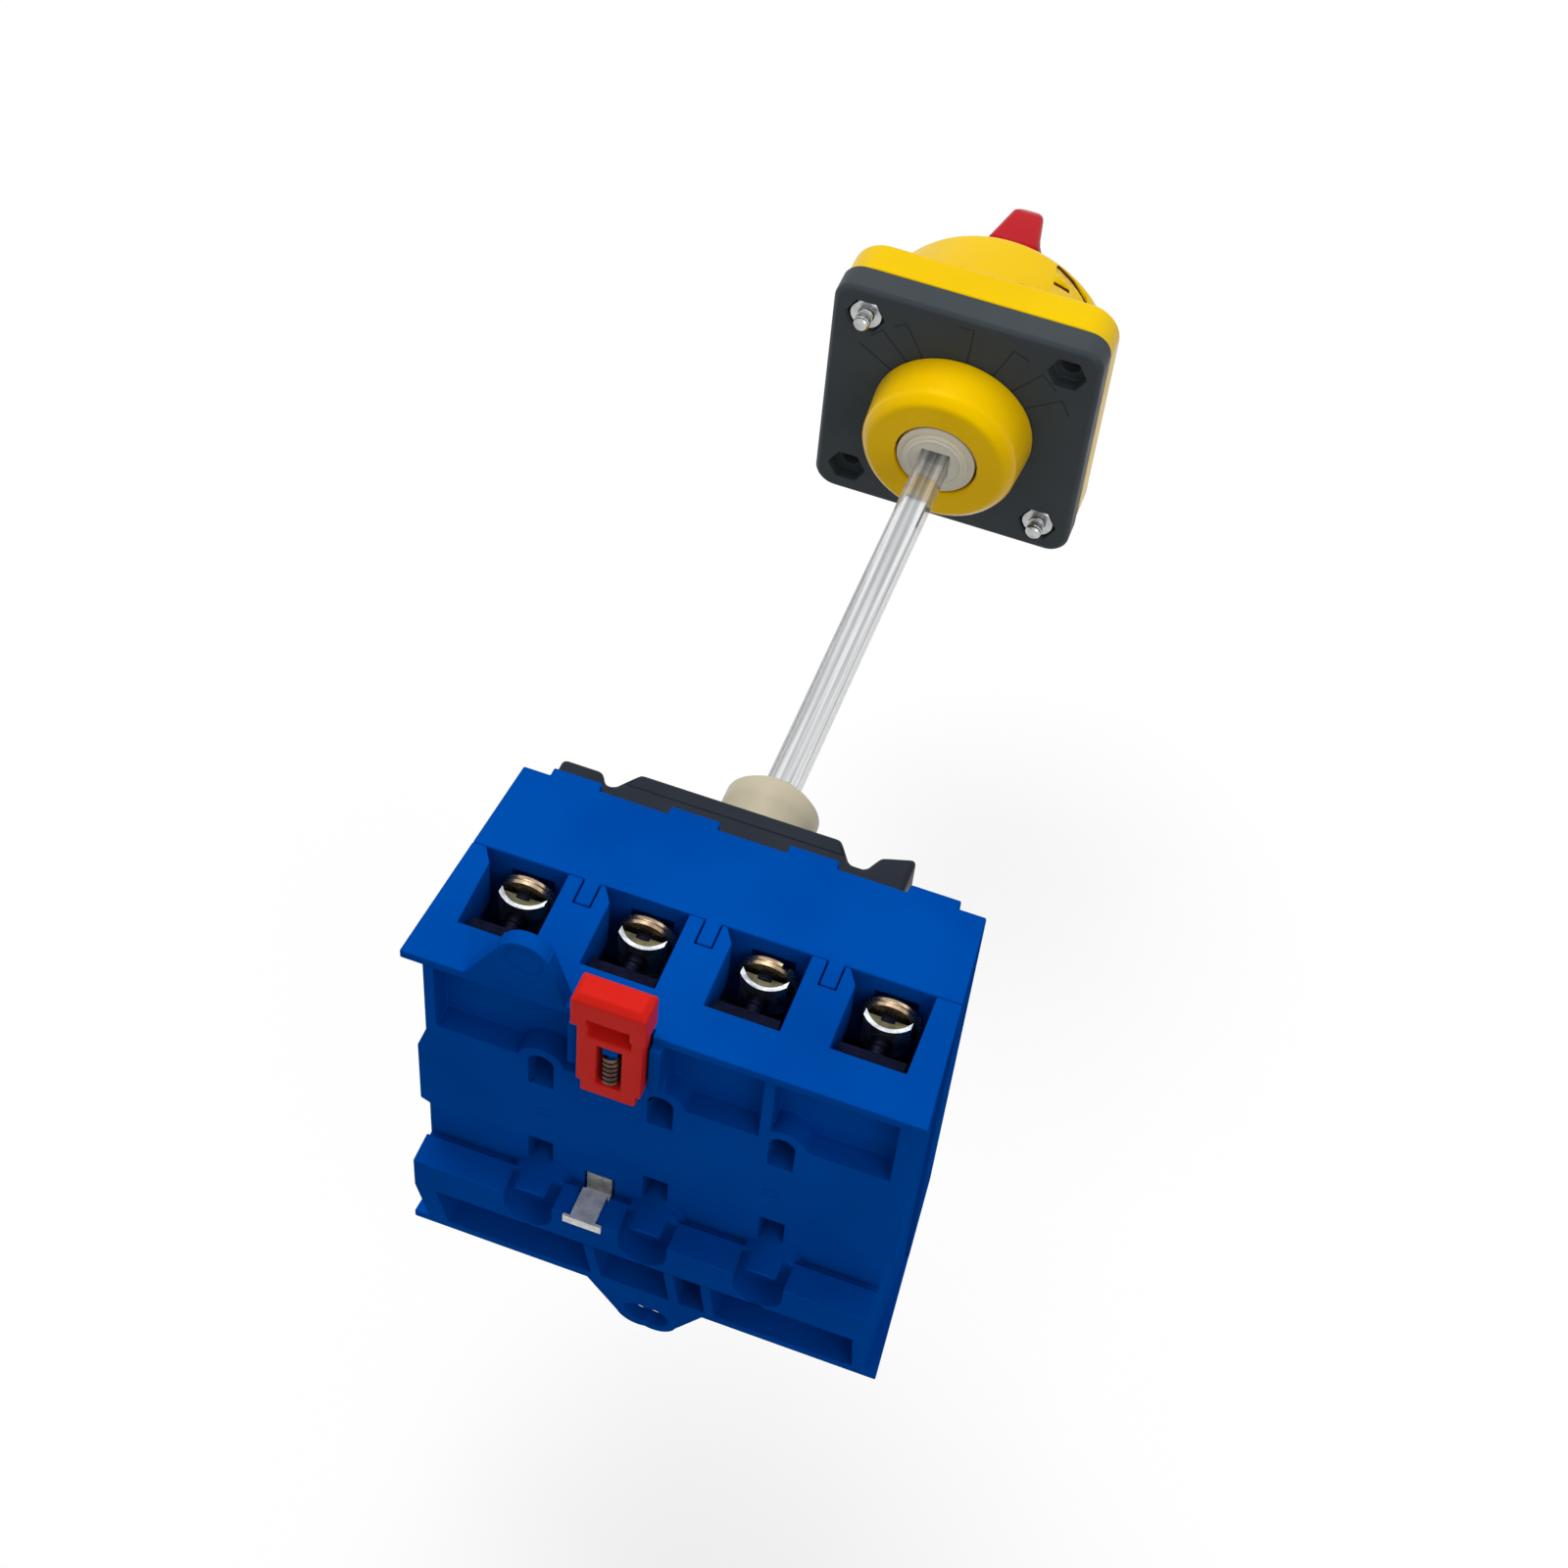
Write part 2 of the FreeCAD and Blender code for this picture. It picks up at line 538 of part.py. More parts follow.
holes.append(box(OUTER_POLE + " - crossbar_side - slide_play", "pole_first + crossbar_side + slide_play",
                 "-seam_y - over", CROSSBAR_BACK + " + stroke + 2 * slide_play",
                 "-crossbar_half - slide_play", "crossbar_half + slide_play"))
TIES = [(x, z) for x in (KEY_X[0], KEY_X[2]) for z in (TIE_Z, "-(%s)" % TIE_Z)]
for x, z in TIES:
    holes.append(rod("Y", "tie_r - thread_gap", "tie_deep + 2 * over", x, "-seam_y - over", z))
holes.append(box("clip_x - clip_half - sheet_t", "clip_x + clip_half + sheet_t", "-2 * sheet_t",
                 SLOT_BACK + " + 2 * sheet_t", SLOT_LOW + " - 2 * sheet_t", LIP_TOP + " + clip_up + sheet_t"))

guides = []
for low, high in (("latch_x + latch_half + latch_play", "latch_x + " + LATCH_SIDE),
                  ("latch_x - (%s)" % LATCH_SIDE, "latch_x - latch_half - latch_play")):
    guides.append(box(low, high, "-rear_deep", "latch_back - rib", RAIL_TOP + " + 2 * rail_play",
                      "half_high - skin"))
PEG_Z = "half_high - peg_in"
SPRING_Y = "(latch_near + latch_back) / 2 + 0.2"
peg = [box("latch_x - peg_half", "latch_x + peg_half", "-peg_half", SPRING_Y + " + peg_half", PEG_Z,
           PEG_Z + " + peg_thick"),
       rod("Z", "spigot_r", "spigot_long + peg_thick / 2", "latch_x", SPRING_Y, PEG_Z + " - spigot_long")]
SCOOP_Z = LIP_TOP + " - scoop_down"
SCOOP_Y = SLOT_BACK + " + scoop_lip"
arches, cups, windows, scoops = [], [], [], []
for x in WINDOW_X:
    arches.append(rod("Y", "arch_r", "rear_deep", x, "-rear_deep", "window_arch"))
    windows.append(rod("Y", "window_wide / 2", "cell_floor", x, "-cell_floor + window_wall", "window_arch"))
    mid = x + " - scoop_side"
    cups.append(rod("Y", "scoop_r + rib / 2", "rear_deep + ledge_back - scoop_lip", mid, "-rear_deep",
                    SCOOP_Z))
    scoops.append(rod("Y", "scoop_r", "ledge_back + over", mid, SCOOP_Y, SCOOP_Z))
    scoops.append(box(mid + " - scoop_r", mid + " + scoop_r", SCOOP_Y, "ledge_back + over", SCOOP_Z,
                      LIP_TOP + " + over"))
ear_holes = [rod("Y", "slot_r", "ear_thick + 2 * over", x, "foot_back - ear_thick - over",
                 LOBE_Z) for x in LOBES]
ear_holes.append(rod("Y", "ear_mark", "2 * over", "ear_x", "roof_back - ear_thick / 6", EAR_Z))
base = cut(join(walls), holes)
deliver(cut(cut(join([base] + arches + guides + peg + cups), ear_holes + windows), scoops), "base_housing")

# Front cover: a shallow tray with keys, castellated front edge and driver holes.
tray = body("tray")
narrow = narrowing("seam_y", "roof_back")
pad(tray, sketch(tray, "XY_Plane", [
    ("side_near - " + narrow, "-seam_y - joint_gap"), ("side_near - flare", "-cover_y"),
    ("-side_far + flare", "-cover_y"), ("-side_far + " + narrow, "-seam_y - joint_gap"),
]), "2 * half_high", middle=True)
steps = []
for i in range(4):
    x = pole_x(i)
    for low, high in (("half_high - tab_high", "half_high"), ("-half_high", "-half_high + tab_high")):
        steps.append(box(x + " - tab_wide / 2", x + " + tab_wide / 2", "-cover_y - tab_y",
                         "-cover_y + over / 2",
                         low, high))
for x in KEY_X:
    for low, high in (("half_high - skin + key_play", "half_high"),
                      ("-half_high", "-half_high + skin - key_play")):
        steps.append(box(x + " - key_wide / 2", x + " + key_wide / 2", "-seam_y - over / 2",
                         "-seam_y + key_deep",
                         low, high))
SLEEVE_ROOM = "sleeve_r + sleeve_gap"
TRAY_HALF = "frame_half - 2 * skin"
openings = [box("-side_far + flare + skin", "side_near - flare - skin", "-cover_y + skin", "-seam_y",
                "-(%s)" % TRAY_HALF,
                TRAY_HALF),
            rod("Y", SLEEVE_ROOM, "skin + 2 * over", "0", "-cover_y - over", "0")]
for i in range(4):
    for z in (SCREW_Z, "-(%s)" % SCREW_Z):
        openings.append(box(pole_x(i) + " - driver_half", pole_x(i) + " + driver_half", "-cover_y - over",
                            "-seam_y + over", z + " - driver_half", z + " + driver_half"))
for x, z in TIES:
    openings.append(rod("Y", "tie_r + thread_gap", "cover_y - seam_y + 2 * over", x, "-cover_y - over", z))
    openings.append(rod("Y", "tie_head + thread_gap", "over + head_thick + 3 * joint_gap", x,
                        "-cover_y - over", z))
deliver(cut(join([tray] + steps), openings), "front_cover")

# Black front frame: its plan outline has two end towers, two notches and the middle bar that bears the hub.
frame = body("frame")
NEAR_FLOOR = "-frame_y + frame_dip"
pad(frame, sketch(frame, "XY_Plane", [
    ("frame_near", "-cover_y - joint_gap"), ("-frame_far", "-cover_y - joint_gap"),
    ("-frame_far", "-frame_y - tower_rise"), ("-frame_far + tower - notch_side", "-frame_y + tower_rise"),
    ("-frame_far + tower", NEAR_FLOOR), ("-frame_far + tower + notch", NEAR_FLOOR),
    ("-frame_far + tower + 2 * notch", "-frame_y"),
    ("frame_near - tower - notch - 2 * notch_side", "-frame_y"),
    ("frame_near - tower - notch - notch_side", "-frame_y + frame_dip / 2"),
    ("frame_near - tower - notch", NEAR_FLOOR), ("frame_near - tower - over", NEAR_FLOOR),
    ("frame_near - tower", "-frame_y + tower_drop"), ("frame_near", "-frame_y + tower_drop"),
]), "2 * frame_half", middle=True)
hollow = [
    rod("Y", "neck_r + bearing_gap", "frame_y", "0", "-frame_y - over", "0"),
    rod("Y", SLEEVE_ROOM, "frame_y - cover_y - bearing_wall + over", "0", "-frame_y + bearing_wall", "0"),
]
HOLLOW_FRONT = NEAR_FLOOR + " + skin"
for low, high in (("-frame_far + skin", "-sleeve_r - skin"), ("sleeve_r + skin", "frame_near - skin")):
    hollow.append(box(low, high, HOLLOW_FRONT, "-cover_y + over", "-frame_half + skin", "frame_half - skin"))
deliver(cut(frame, hollow), "front_frame")

# Terminal bars, contact tips, terminal screws and bent wire clamps of the four poles.
HEAD_BACK = "-head_y + head_thick"
SADDLE_BACK = HEAD_BACK + " + saddle_down"
bars, tips, screws, clamps, bridges = [], [], [], [], []
for i in range(4):
    x = pole_x(i)
    for sign in ("", "-"):
        low, high = ("bar_in", "half_high - bar_short") if sign == "" else ("-half_high + bar_short", "-bar_in")
        z = "%s(%s)" % (sign, SCREW_Z)
        bar = box(x + " - bar_half", x + " + bar_half", BAR_FRONT, "-cell_floor - joint_gap", low, high)
        bars.append(cut(bar, [rod("Y", "shank_r + thread_gap", "bar_thick + 2 * over", x,
                                  BAR_FRONT + " - over", z)]))
        tips.append(box(x + " - tip_wide", x + " + tip_wide", BAR_FRONT + " - tip_thick - joint_gap",
                        BAR_FRONT + " - joint_gap", sign + "tip_z - tip_half", sign + "tip_z + tip_half"))
        head = rod("Y", "head_r", "head_thick", x, "-head_y", z)
        slot = box(x + " - head_r - over", x + " + head_r + over", "-head_y - over",
                   "-head_y + head_thick / 2",
                   z + " - slot_wide / 2", z + " + slot_wide / 2")
        collar = rod("Y", "shank_r + over", "collar_thick", x, HEAD_BACK + " - joint_gap", z)
        shank = rod("Y", "shank_r", "head_y - head_thick - cell_floor", x, HEAD_BACK + " - joint_gap", z)
        screws.append(cut(join([head, collar, shank]), [slot]))
        outer = overlap([rod("Z", "saddle_r", "2 * saddle_half", x, SADDLE_BACK + " - saddle_r",
                             z + " - saddle_half"),
                         box(x + " - saddle_half", x + " + saddle_half", HEAD_BACK + " + 3 * joint_gap",
                             SADDLE_BACK + " + over", z + " - saddle_half", z + " + saddle_half")])
        clamps.append(cut(outer, [
            rod("Z", "saddle_r - saddle_thick", "2 * saddle_half + 2 * over", x, SADDLE_BACK + " - saddle_r",
                z + " - saddle_half - over"),
            rod("Y", "shank_r + thread_gap", "saddle_down + 2 * over", x, HEAD_BACK, z)]))
    bridge = [box(x + " - tip_wide", x + " + tip_wide", BRIDGE_FRONT, BRIDGE_BACK + " - tip_thick",
                  "-bridge_half", "bridge_half")]
    for z in ("tip_z", "-tip_z"):
        bridge.append(box(x + " - tip_wide + tip_less", x + " + tip_wide - tip_less",
                          BRIDGE_BACK + " - tip_thick - tip_less", BRIDGE_BACK, z + " - tip_half + tip_less",
                          z + " + tip_half - tip_less"))
    bridges.append(join(bridge))
deliver(group(bars), "terminal_bars")
deliver(group(tips), "fixed_contact_tips")
deliver(group(screws), "terminal_screws")
deliver(group(clamps), "wire_clamps")
deliver(group(bridges), "moving_contacts")

# Leaf springs behind the bridges, each a bowed strip held between bridge and crossbar.
leaves = []
for i in range(4):
    leaf = body("leaf")
    foot, bow = BRIDGE_FRONT + " - 2 * joint_gap", BRIDGE_FRONT + " - leaf_bow"
    pad(leaf, sketch(leaf, "YZ_Plane", [
        (foot, "-leaf_half"), (foot, "-leaf_half * 0.8"), (bow, "0"), (foot, "leaf_half * 0.8"),
        (foot, "leaf_half"),
        (foot + " - leaf_thick", "leaf_half"),
        (foot + " - leaf_thick", "leaf_half * 0.8"), (bow + " - leaf_thick", "0"),
        (foot + " - leaf_thick", "-leaf_half * 0.8"), (foot + " - leaf_thick", "-leaf_half"),
    ], pole_x(i) + " - cage_half + cage_lip"), "2 * (cage_half - cage_lip)")
    leaves.append(leaf)
deliver(group(leaves), "contact_springs")

# Contact carriage: crossbar, cages for the bridges and a sleeve with two follower pins.
crossbar = box(OUTER_POLE + " - crossbar_side", "pole_first + crossbar_side", "-crossbar_front",
               CROSSBAR_BACK + " - 2 * joint_gap", "-crossbar_half", "crossbar_half")
LIP_BACK = BRIDGE_BACK + " - tip_less + joint_gap"
cages = []
for i in range(4):
    for sign in ("+", "-"):
        inner, outer, lip = ("%s %s (%s)" % (pole_x(i), sign, size) for size in
                             ("cage_half", "cage_half + cage_wall", "cage_half - cage_lip"))
        low, high = (inner, outer) if sign == "+" else (outer, inner)
        cages.append(box(low, high, CROSSBAR_BACK + " - over", LIP_BACK, "-cage_half", "cage_half"))
        low, high = (lip, inner) if sign == "+" else (inner, lip)
        cages.append(box(low, high, BRIDGE_BACK + " - tip_thick + 2 * joint_gap", LIP_BACK, "-cage_half",
                         "cage_half"))
sleeve = cut(rod("Y", "sleeve_r", "sleeve_front - sleeve_back", "0", "-sleeve_front", "0"),
             [rod("Y", "sleeve_bore", "sleeve_front - crossbar_front + over", "0", "-sleeve_front - over",
                  "0")])
pins = [rod("X", "pin_r", "pin_in + over", "-sleeve_bore - over", "-drum_y", "0"),
        rod("X", "pin_r", "pin_in + over", "sleeve_bore - pin_in", "-drum_y", "0")]
deliver(join([crossbar] + cages + [sleeve] + pins), "contact_carriage")

# Drive hub turned in one piece; two helical grooves in its drum turn a quarter turn into the stroke.
hub = body("hub")
turned(hub, sketch(hub, "XY_Plane", [
    ("0", "-hub_y"), ("hub_r - hub_bevel", "-hub_y"), ("hub_r", "-hub_y + hub_bevel"),
    ("hub_r", "-hub_y + disc_thick - hub_bevel"), ("hub_r - hub_bevel", "-hub_y + disc_thick"),
    ("neck_r", "-hub_y + disc_thick"), ("neck_r", "-flange_y"), ("flange_r", "-flange_y"),
    ("flange_r", "-flange_y + flange_thick"), ("drum_r", "-flange_y + flange_thick"), ("drum_r", "-drum_end"),
    ("0", "-drum_end"),
]))
grooves = []
for start in (0, 180):
    path = doc.addObject("Part::Helix", fresh("path"))
    path.LocalCoord = "Left-handed"
    bind(path, Pitch="4 * stroke", Height="(1 + 2 * groove_lead) * stroke", Radius="drum_r")
    ring = doc.addObject("Part::Circle", fresh("ring"))
    ring.Placement = FreeCAD.Placement(V(0, 0, 0), FreeCAD.Rotation(V(1, 0, 0), 90))
    bind(ring, Radius="groove_r", Placement__Base__x="drum_r")
    sweep = doc.addObject("Part::Sweep", fresh("sweep"))
    sweep.Sections = [ring]
    sweep.Spine = (path, [])
    sweep.Solid = True
    sweep.Frenet = True
    turn = start + 90 * VALUE["groove_lead"]
    sweep.Placement = FreeCAD.Placement(V(0, 0, 0), FreeCAD.Rotation(V(0, 1, 0), turn).multiply(TURN["Y"]))
    bind(sweep, Placement__Base__y="-drum_y - groove_lead * stroke")
    grooves.append(sweep)
SOCKET = ("-rod / 2 - rod_fit", "rod / 2 + rod_fit")
ROD_FRONT = "-plate_y - plate_thick - rod_in"
deliver(cut(cut(hub, grooves), [box(*SOCKET, "-hub_y - over", "-rod_start + rod_fit", *SOCKET)]), "drive_hub")

shaft = box("-rod / 2", "rod / 2", ROD_FRONT, "-rod_start", "-rod / 2", "rod / 2")
bevel = doc.addObject("Part::Chamfer", "shaft_bevel")
bevel.Base = shaft
doc.recompute()
bevel.Edges = [(i + 1, VALUE["rod_bevel"], VALUE["rod_bevel"]) for i, edge in enumerate(shaft.Shape.Edges)
               if edge.BoundBox.YLength > VALUE["rod"] * 2]
deliver(bevel, "extension_shaft")

# Door handle: boss and coupling ring behind the plate, square cover, dome and knob in front.
boss = body("boss")
RING_SEAT = "ring_r + ring_out"
turned(boss, sketch(boss, "XY_Plane", [
    ("rod", "-plate_y + joint_gap"), ("boss_r", "-plate_y + joint_gap"),
    ("boss_r - boss_bevel / 4", "-boss_y - boss_bevel"),
    ("boss_r - boss_bevel / 2", "-boss_y - boss_bevel / 2"),
    ("boss_r - boss_bevel", "-boss_y"), (RING_SEAT, "-boss_y"),
    (RING_SEAT, "-boss_y - ring_thick - 2 * ring_out"),
    ("rod", "-boss_y - ring_thick - 2 * ring_out"),
]))
deliver(boss, "handle_boss")

RING_FRONT = "-boss_y - ring_thick - ring_out"
ring_shape = join([rod("Y", "ring_r", "ring_thick", "0", RING_FRONT, "0"),
                   rod("Y", "ring_r - 3 * ring_out", "ring_thick + 2 * ring_out", "0", RING_FRONT, "0")])
deliver(cut(ring_shape, [box(*SOCKET, RING_FRONT + " - over", "-boss_y + ring_out + over", *SOCKET)]),
        "coupling_ring")

SQUARE = [("-plate_half", "-plate_half"), ("plate_half", "-plate_half"), ("plate_half", "plate_half"),
          ("-plate_half", "plate_half")]
PLATE_FRONT = "plate_y + plate_thick"
NECK = "rod / 2 + neck_wall"


def rim(y):
    """Picks the edges that lie in the plane at y."""
    return lambda edge: abs(edge.BoundBox.YMin - y) < 0.01 and edge.BoundBox.YLength < 0.01


def slab(stem, back, thick, corner, bevelled, edge_y):
    """A square plate with round corners and one bevelled rim."""
    owner = body(stem)
    block = pad(owner, sketch(owner, "XZ_Plane", SQUARE, back), thick)
    round_ = soften(owner, block, upright, corner)
    soften(owner, round_, rim(edge_y), bevelled, "Chamfer")
    return owner


plate = slab("plate", "plate_y", "plate_thick", "plate_corner", "plate_bevel", -VALUE["plate_y"])
CAP_BACK = PLATE_FRONT + " + joint_gap"
CAP_FRONT = CAP_BACK + " + cap_thick"
cap = slab("cap", CAP_BACK, "cap_thick", "cap_corner", "cap_bevel", -sheet_value(CAP_FRONT))

CORNER = "(plate_half - corner_in)"
BOLT_FRONT = "-(%s) + over" % CAP_FRONT
pockets, tails, bolts, nuts = [], [], [], []
for a, b in ((1, 1), (-1, 1), (-1, -1), (1, -1)):
    x, z = "%d * %s" % (a, CORNER), "%d * %s" % (b, CORNER)
    nut_front = "-plate_y - nut_in - nut_thick"
    pockets.append(hexagon("nut_r + nut_gap", "nut_thick + nut_in + over", x, nut_front + " - joint_gap", z))
    pockets.append(rod("Y", "thread_r + thread_gap", "plate_thick + 2 * over", x,
                       "-(%s) - over" % PLATE_FRONT, z))
    tails.append(rod("Y", "thread_r + thread_gap", "cap_thick + 3 * over", x, "-(%s) - over" % CAP_FRONT, z))
    tails.append(rod("Y", "button_r + thread_gap", "button_high + over", x,
                     BOLT_FRONT + " - button_high - over", z))
    if a != b:
        continue
    bolts.append(join([rod("Y", "thread_r", "%s - plate_y + thread_out" % CAP_FRONT, x,
                           BOLT_FRONT + " - over", z),
                       rod("Y", "button_r", "button_high", x, BOLT_FRONT + " - button_high - joint_gap", z)]))
    nuts.append(cut(hexagon("nut_r", "nut_thick", x, nut_front, z),
                    [rod("Y", "thread_r + joint_gap", "nut_thick + 2 * over", x, nut_front + " - over", z)]))
centre = [rod("Y", NECK + " + neck_room", "plate_thick + 2 * over", "0", "-(%s) - over" % PLATE_FRONT, "0")]
deliver(cut(plate, pockets + centre), "handle_plate")

DOME_FOOT = "plate_half - dome_in"
DOME_TOP = DOME_FOOT + " - dome_draft"
DOME_FRONT = CAP_FRONT + " + dome_high"
dome = body("dome")
turned(dome, sketch(dome, "XY_Plane", [
    ("0", "-(%s) + over" % CAP_FRONT), (DOME_FOOT, "-(%s) + over" % CAP_FRONT),
    (DOME_TOP, "-(%s) + dome_bevel" % DOME_FRONT),
    (DOME_TOP + " - dome_bevel / 3", "-(%s) + dome_bevel / 3" % DOME_FRONT),
    (DOME_TOP + " - dome_bevel", "-(%s)" % DOME_FRONT), ("0", "-(%s)" % DOME_FRONT),
]))
neck_cut = rod("Y", NECK + " + bearing_gap", "cap_thick + dome_high + 3 * over", "0",
               "-(%s) - over" % DOME_FRONT, "0")
deliver(cut(join([cap, dome]), tails + [neck_cut]), "escutcheon")

GRIP_BACK = "-(%s) - over" % DOME_FRONT
GRIP_FRONT = "-(%s) - grip_high" % DOME_FRONT
GRIP_END = DOME_TOP + " - grip_in"
side = body("grip_side")
pad(side, sketch(side, "YZ_Plane", [
    (GRIP_BACK, "-(%s)" % GRIP_END), (GRIP_FRONT + " + grip_slant", "-(%s) + grip_slant / 4" % GRIP_END),
    (GRIP_FRONT, "-(%s) + grip_slant" % GRIP_END), (GRIP_FRONT, GRIP_END + " - grip_slant"),
    (GRIP_FRONT + " + grip_slant", GRIP_END + " - grip_slant / 4"), (GRIP_BACK, GRIP_END),
], "-grip_foot - over"), "2 * grip_foot + 2 * over")
section = body("grip_section")
pad(section, sketch(section, "XY_Plane", [
    ("-grip_foot", GRIP_BACK), ("-grip_top", GRIP_FRONT + " + over"), ("-grip_top + over", GRIP_FRONT),
    ("grip_top - over", GRIP_FRONT), ("grip_top", GRIP_FRONT + " + over"), ("grip_foot", GRIP_BACK),
]), "2 * (%s)" % DOME_TOP, middle=True)
FLANGE_BACK = "-(%s) - knob_play" % DOME_FRONT
knob = join([overlap([side, section]),
             taper("Y", DOME_TOP + " - flange_in - over / 2", DOME_TOP + " - flange_in", "knob_flange", "0",
                   FLANGE_BACK + " - knob_flange", "0"),
             rod("Y", NECK, "cap_thick + dome_high + plate_thick + knob_flange / 2", "0",
                 FLANGE_BACK + " - knob_flange / 2", "0")])
deliver(cut(knob, [box(*SOCKET, ROD_FRONT + " - rod_fit", "-plate_y + over", *SOCKET)]), "knob")
deliver(group(bolts), "handle_screws")
deliver(group(nuts), "handle_nuts")

ties = []
for x, z in TIES:
    head = rod("Y", "tie_head", "head_thick", x, "-cover_y + joint_gap", z)
    shank = rod("Y", "tie_r", "cover_y - seam_y - over", x, "-cover_y + over", z)
    tip = rod("Y", "tie_r - 2 * thread_gap", "tie_deep + over", x, "-seam_y - over / 2", z)
    slot = box(x + " - tie_head - over", x + " + tie_head + over", "-cover_y - over",
               "-cover_y + head_thick / 2",
               z + " - slot_wide / 3", z + " + slot_wide / 3")
    ties.append(cut(join([head, shank, tip]), [slot]))
deliver(group(ties), "body_screws")

# Rail latch with its spring, and the metal clip at the lower rail edge.
LATCH_TOP = "half_high + latch_up"
LATCH_LOW = RAIL_TOP + " - latch_lap"
SPRING_LOW = RAIL_TOP + " + slot_rise"
stem = body("latch_stem")
narrow_x = "latch_half - latch_step"
pad(stem, sketch(stem, "XZ_Plane", [
    ("latch_x - (%s)" % narrow_x, LATCH_LOW), ("latch_x + (%s)" % narrow_x, LATCH_LOW),
    ("latch_x + (%s)" % narrow_x, LATCH_LOW + " + latch_lap"),
    ("latch_x + latch_half", LATCH_LOW + " + latch_lap"),
    ("latch_x + latch_half", LATCH_TOP + " - latch_head / 2"),
    ("latch_x - latch_half", LATCH_TOP + " - latch_head / 2"),
    ("latch_x - latch_half", LATCH_LOW + " + latch_lap"),
    ("latch_x - (%s)" % narrow_x, LATCH_LOW + " + latch_lap"),
], "-latch_back"), "latch_back - latch_near")
top = box("latch_x - latch_half - latch_wider", "latch_x + latch_half + latch_wider",
          "latch_near - latch_wider",
          "latch_back + latch_thicker", LATCH_TOP + " - latch_head", LATCH_TOP)
top_soft = doc.addObject("Part::Chamfer", "latch_bevel")
top_soft.Base = top
doc.recompute()
top_soft.Edges = [(i + 1, VALUE["latch_bevel"], VALUE["latch_bevel"]) for i,
                  edge in enumerate(top.Shape.Edges)
                  if edge.BoundBox.ZMin > sheet_value(LATCH_TOP) - 0.1]
latch_cuts = [box("latch_x - pocket_half", "latch_x + pocket_half", "latch_near + latch_floor",
                  "latch_back + 2 * over",
                  SPRING_LOW + " + latch_top_wall", SPRING_LOW + " + latch_top_wall + pocket_high"),
              box("latch_x - slot_half", "latch_x + slot_half", "latch_near - over", "latch_back + over",
                  SPRING_LOW, PEG_Z + " + slot_above")]
latch_peg = rod("Z", "spigot_r", "spigot_long + over / 2", "latch_x", SPRING_Y, SPRING_LOW + " - over / 2")
deliver(join([cut(join([stem, top_soft]), latch_cuts), latch_peg]), "rail_latch")

coil = doc.addObject("Part::Helix", "coil")
SPRING_HIGH = "(%s) - (%s) - 2.2 * wire_r" % (PEG_Z, SPRING_LOW)
bind(coil, Pitch="(%s) / 6" % SPRING_HIGH, Height=SPRING_HIGH, Radius="coil_r")
wire = doc.addObject("Part::RegularPolygon", "wire")
wire.Polygon = 8
wire.Placement = FreeCAD.Placement(V(0, 0, 0), FreeCAD.Rotation(V(1, 0, 0), 90))
bind(wire, Circumradius="wire_r", Placement__Base__x="coil_r")
spring = doc.addObject("Part::Sweep", "spring")
spring.Sections = [wire]
spring.Spine = (coil, [])
spring.Solid = True
spring.Frenet = True
place(spring, "latch_x", SPRING_Y, SPRING_LOW + " + 1.1 * wire_r")
deliver(spring, "latch_spring")

clip = body("clip")
STRIP_FRONT = "-sheet_t - 3 * clip_gap"
STRIP_BACK = SLOT_BACK + " + clip_gap"
HOOK_FRONT = "ledge_back + clip_gap"
CLIP_LOW = SLOT_LOW + " - 6 * clip_gap"
SEAT = LIP_TOP + " + joint_gap"
pad(clip, sketch(clip, "YZ_Plane", [
    (STRIP_FRONT, LIP_TOP + " + clip_up"), (STRIP_FRONT + " + sheet_t", LIP_TOP + " + clip_up"),
    (STRIP_FRONT + " + sheet_t", CLIP_LOW), (STRIP_BACK, CLIP_LOW), (STRIP_BACK, SEAT + " + sheet_t"),
    (HOOK_FRONT + " + sheet_t", SEAT + " + sheet_t"), (HOOK_FRONT + " + sheet_t", LIP_TOP + " - clip_drop"),
    (HOOK_FRONT, LIP_TOP + " - clip_drop"), (HOOK_FRONT, SEAT), (STRIP_BACK + " + sheet_t", SEAT),
    (STRIP_BACK + " + sheet_t", CLIP_LOW + " - sheet_t"), (STRIP_FRONT, CLIP_LOW + " - sheet_t"),
], "clip_x - clip_half"), "2 * clip_half")
tee = box("clip_x - clip_half - clip_wider", "clip_x + clip_half + clip_wider", HOOK_FRONT,
          HOOK_FRONT + " + sheet_t",
          LIP_TOP + " - clip_drop", SEAT + " + sheet_t")
deliver(join([clip, tee]), "rail_clip")

doc.recompute()
for obj in doc.Objects:
    state = [flag for flag in obj.State if flag in ("Invalid", "Error")]
    if state:
        raise RuntimeError("%s is %s" % (obj.Label, state))
for obj, name in PARTS:
    if obj.Shape.isNull() or not obj.Shape.isValid():
        raise RuntimeError("the shape of %s is not valid" % name)
    obj.Shape.exportStep(os.path.join("parts", name + ".step"))
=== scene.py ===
import math

import bmesh
import bpy
from mathutils import Matrix, Vector


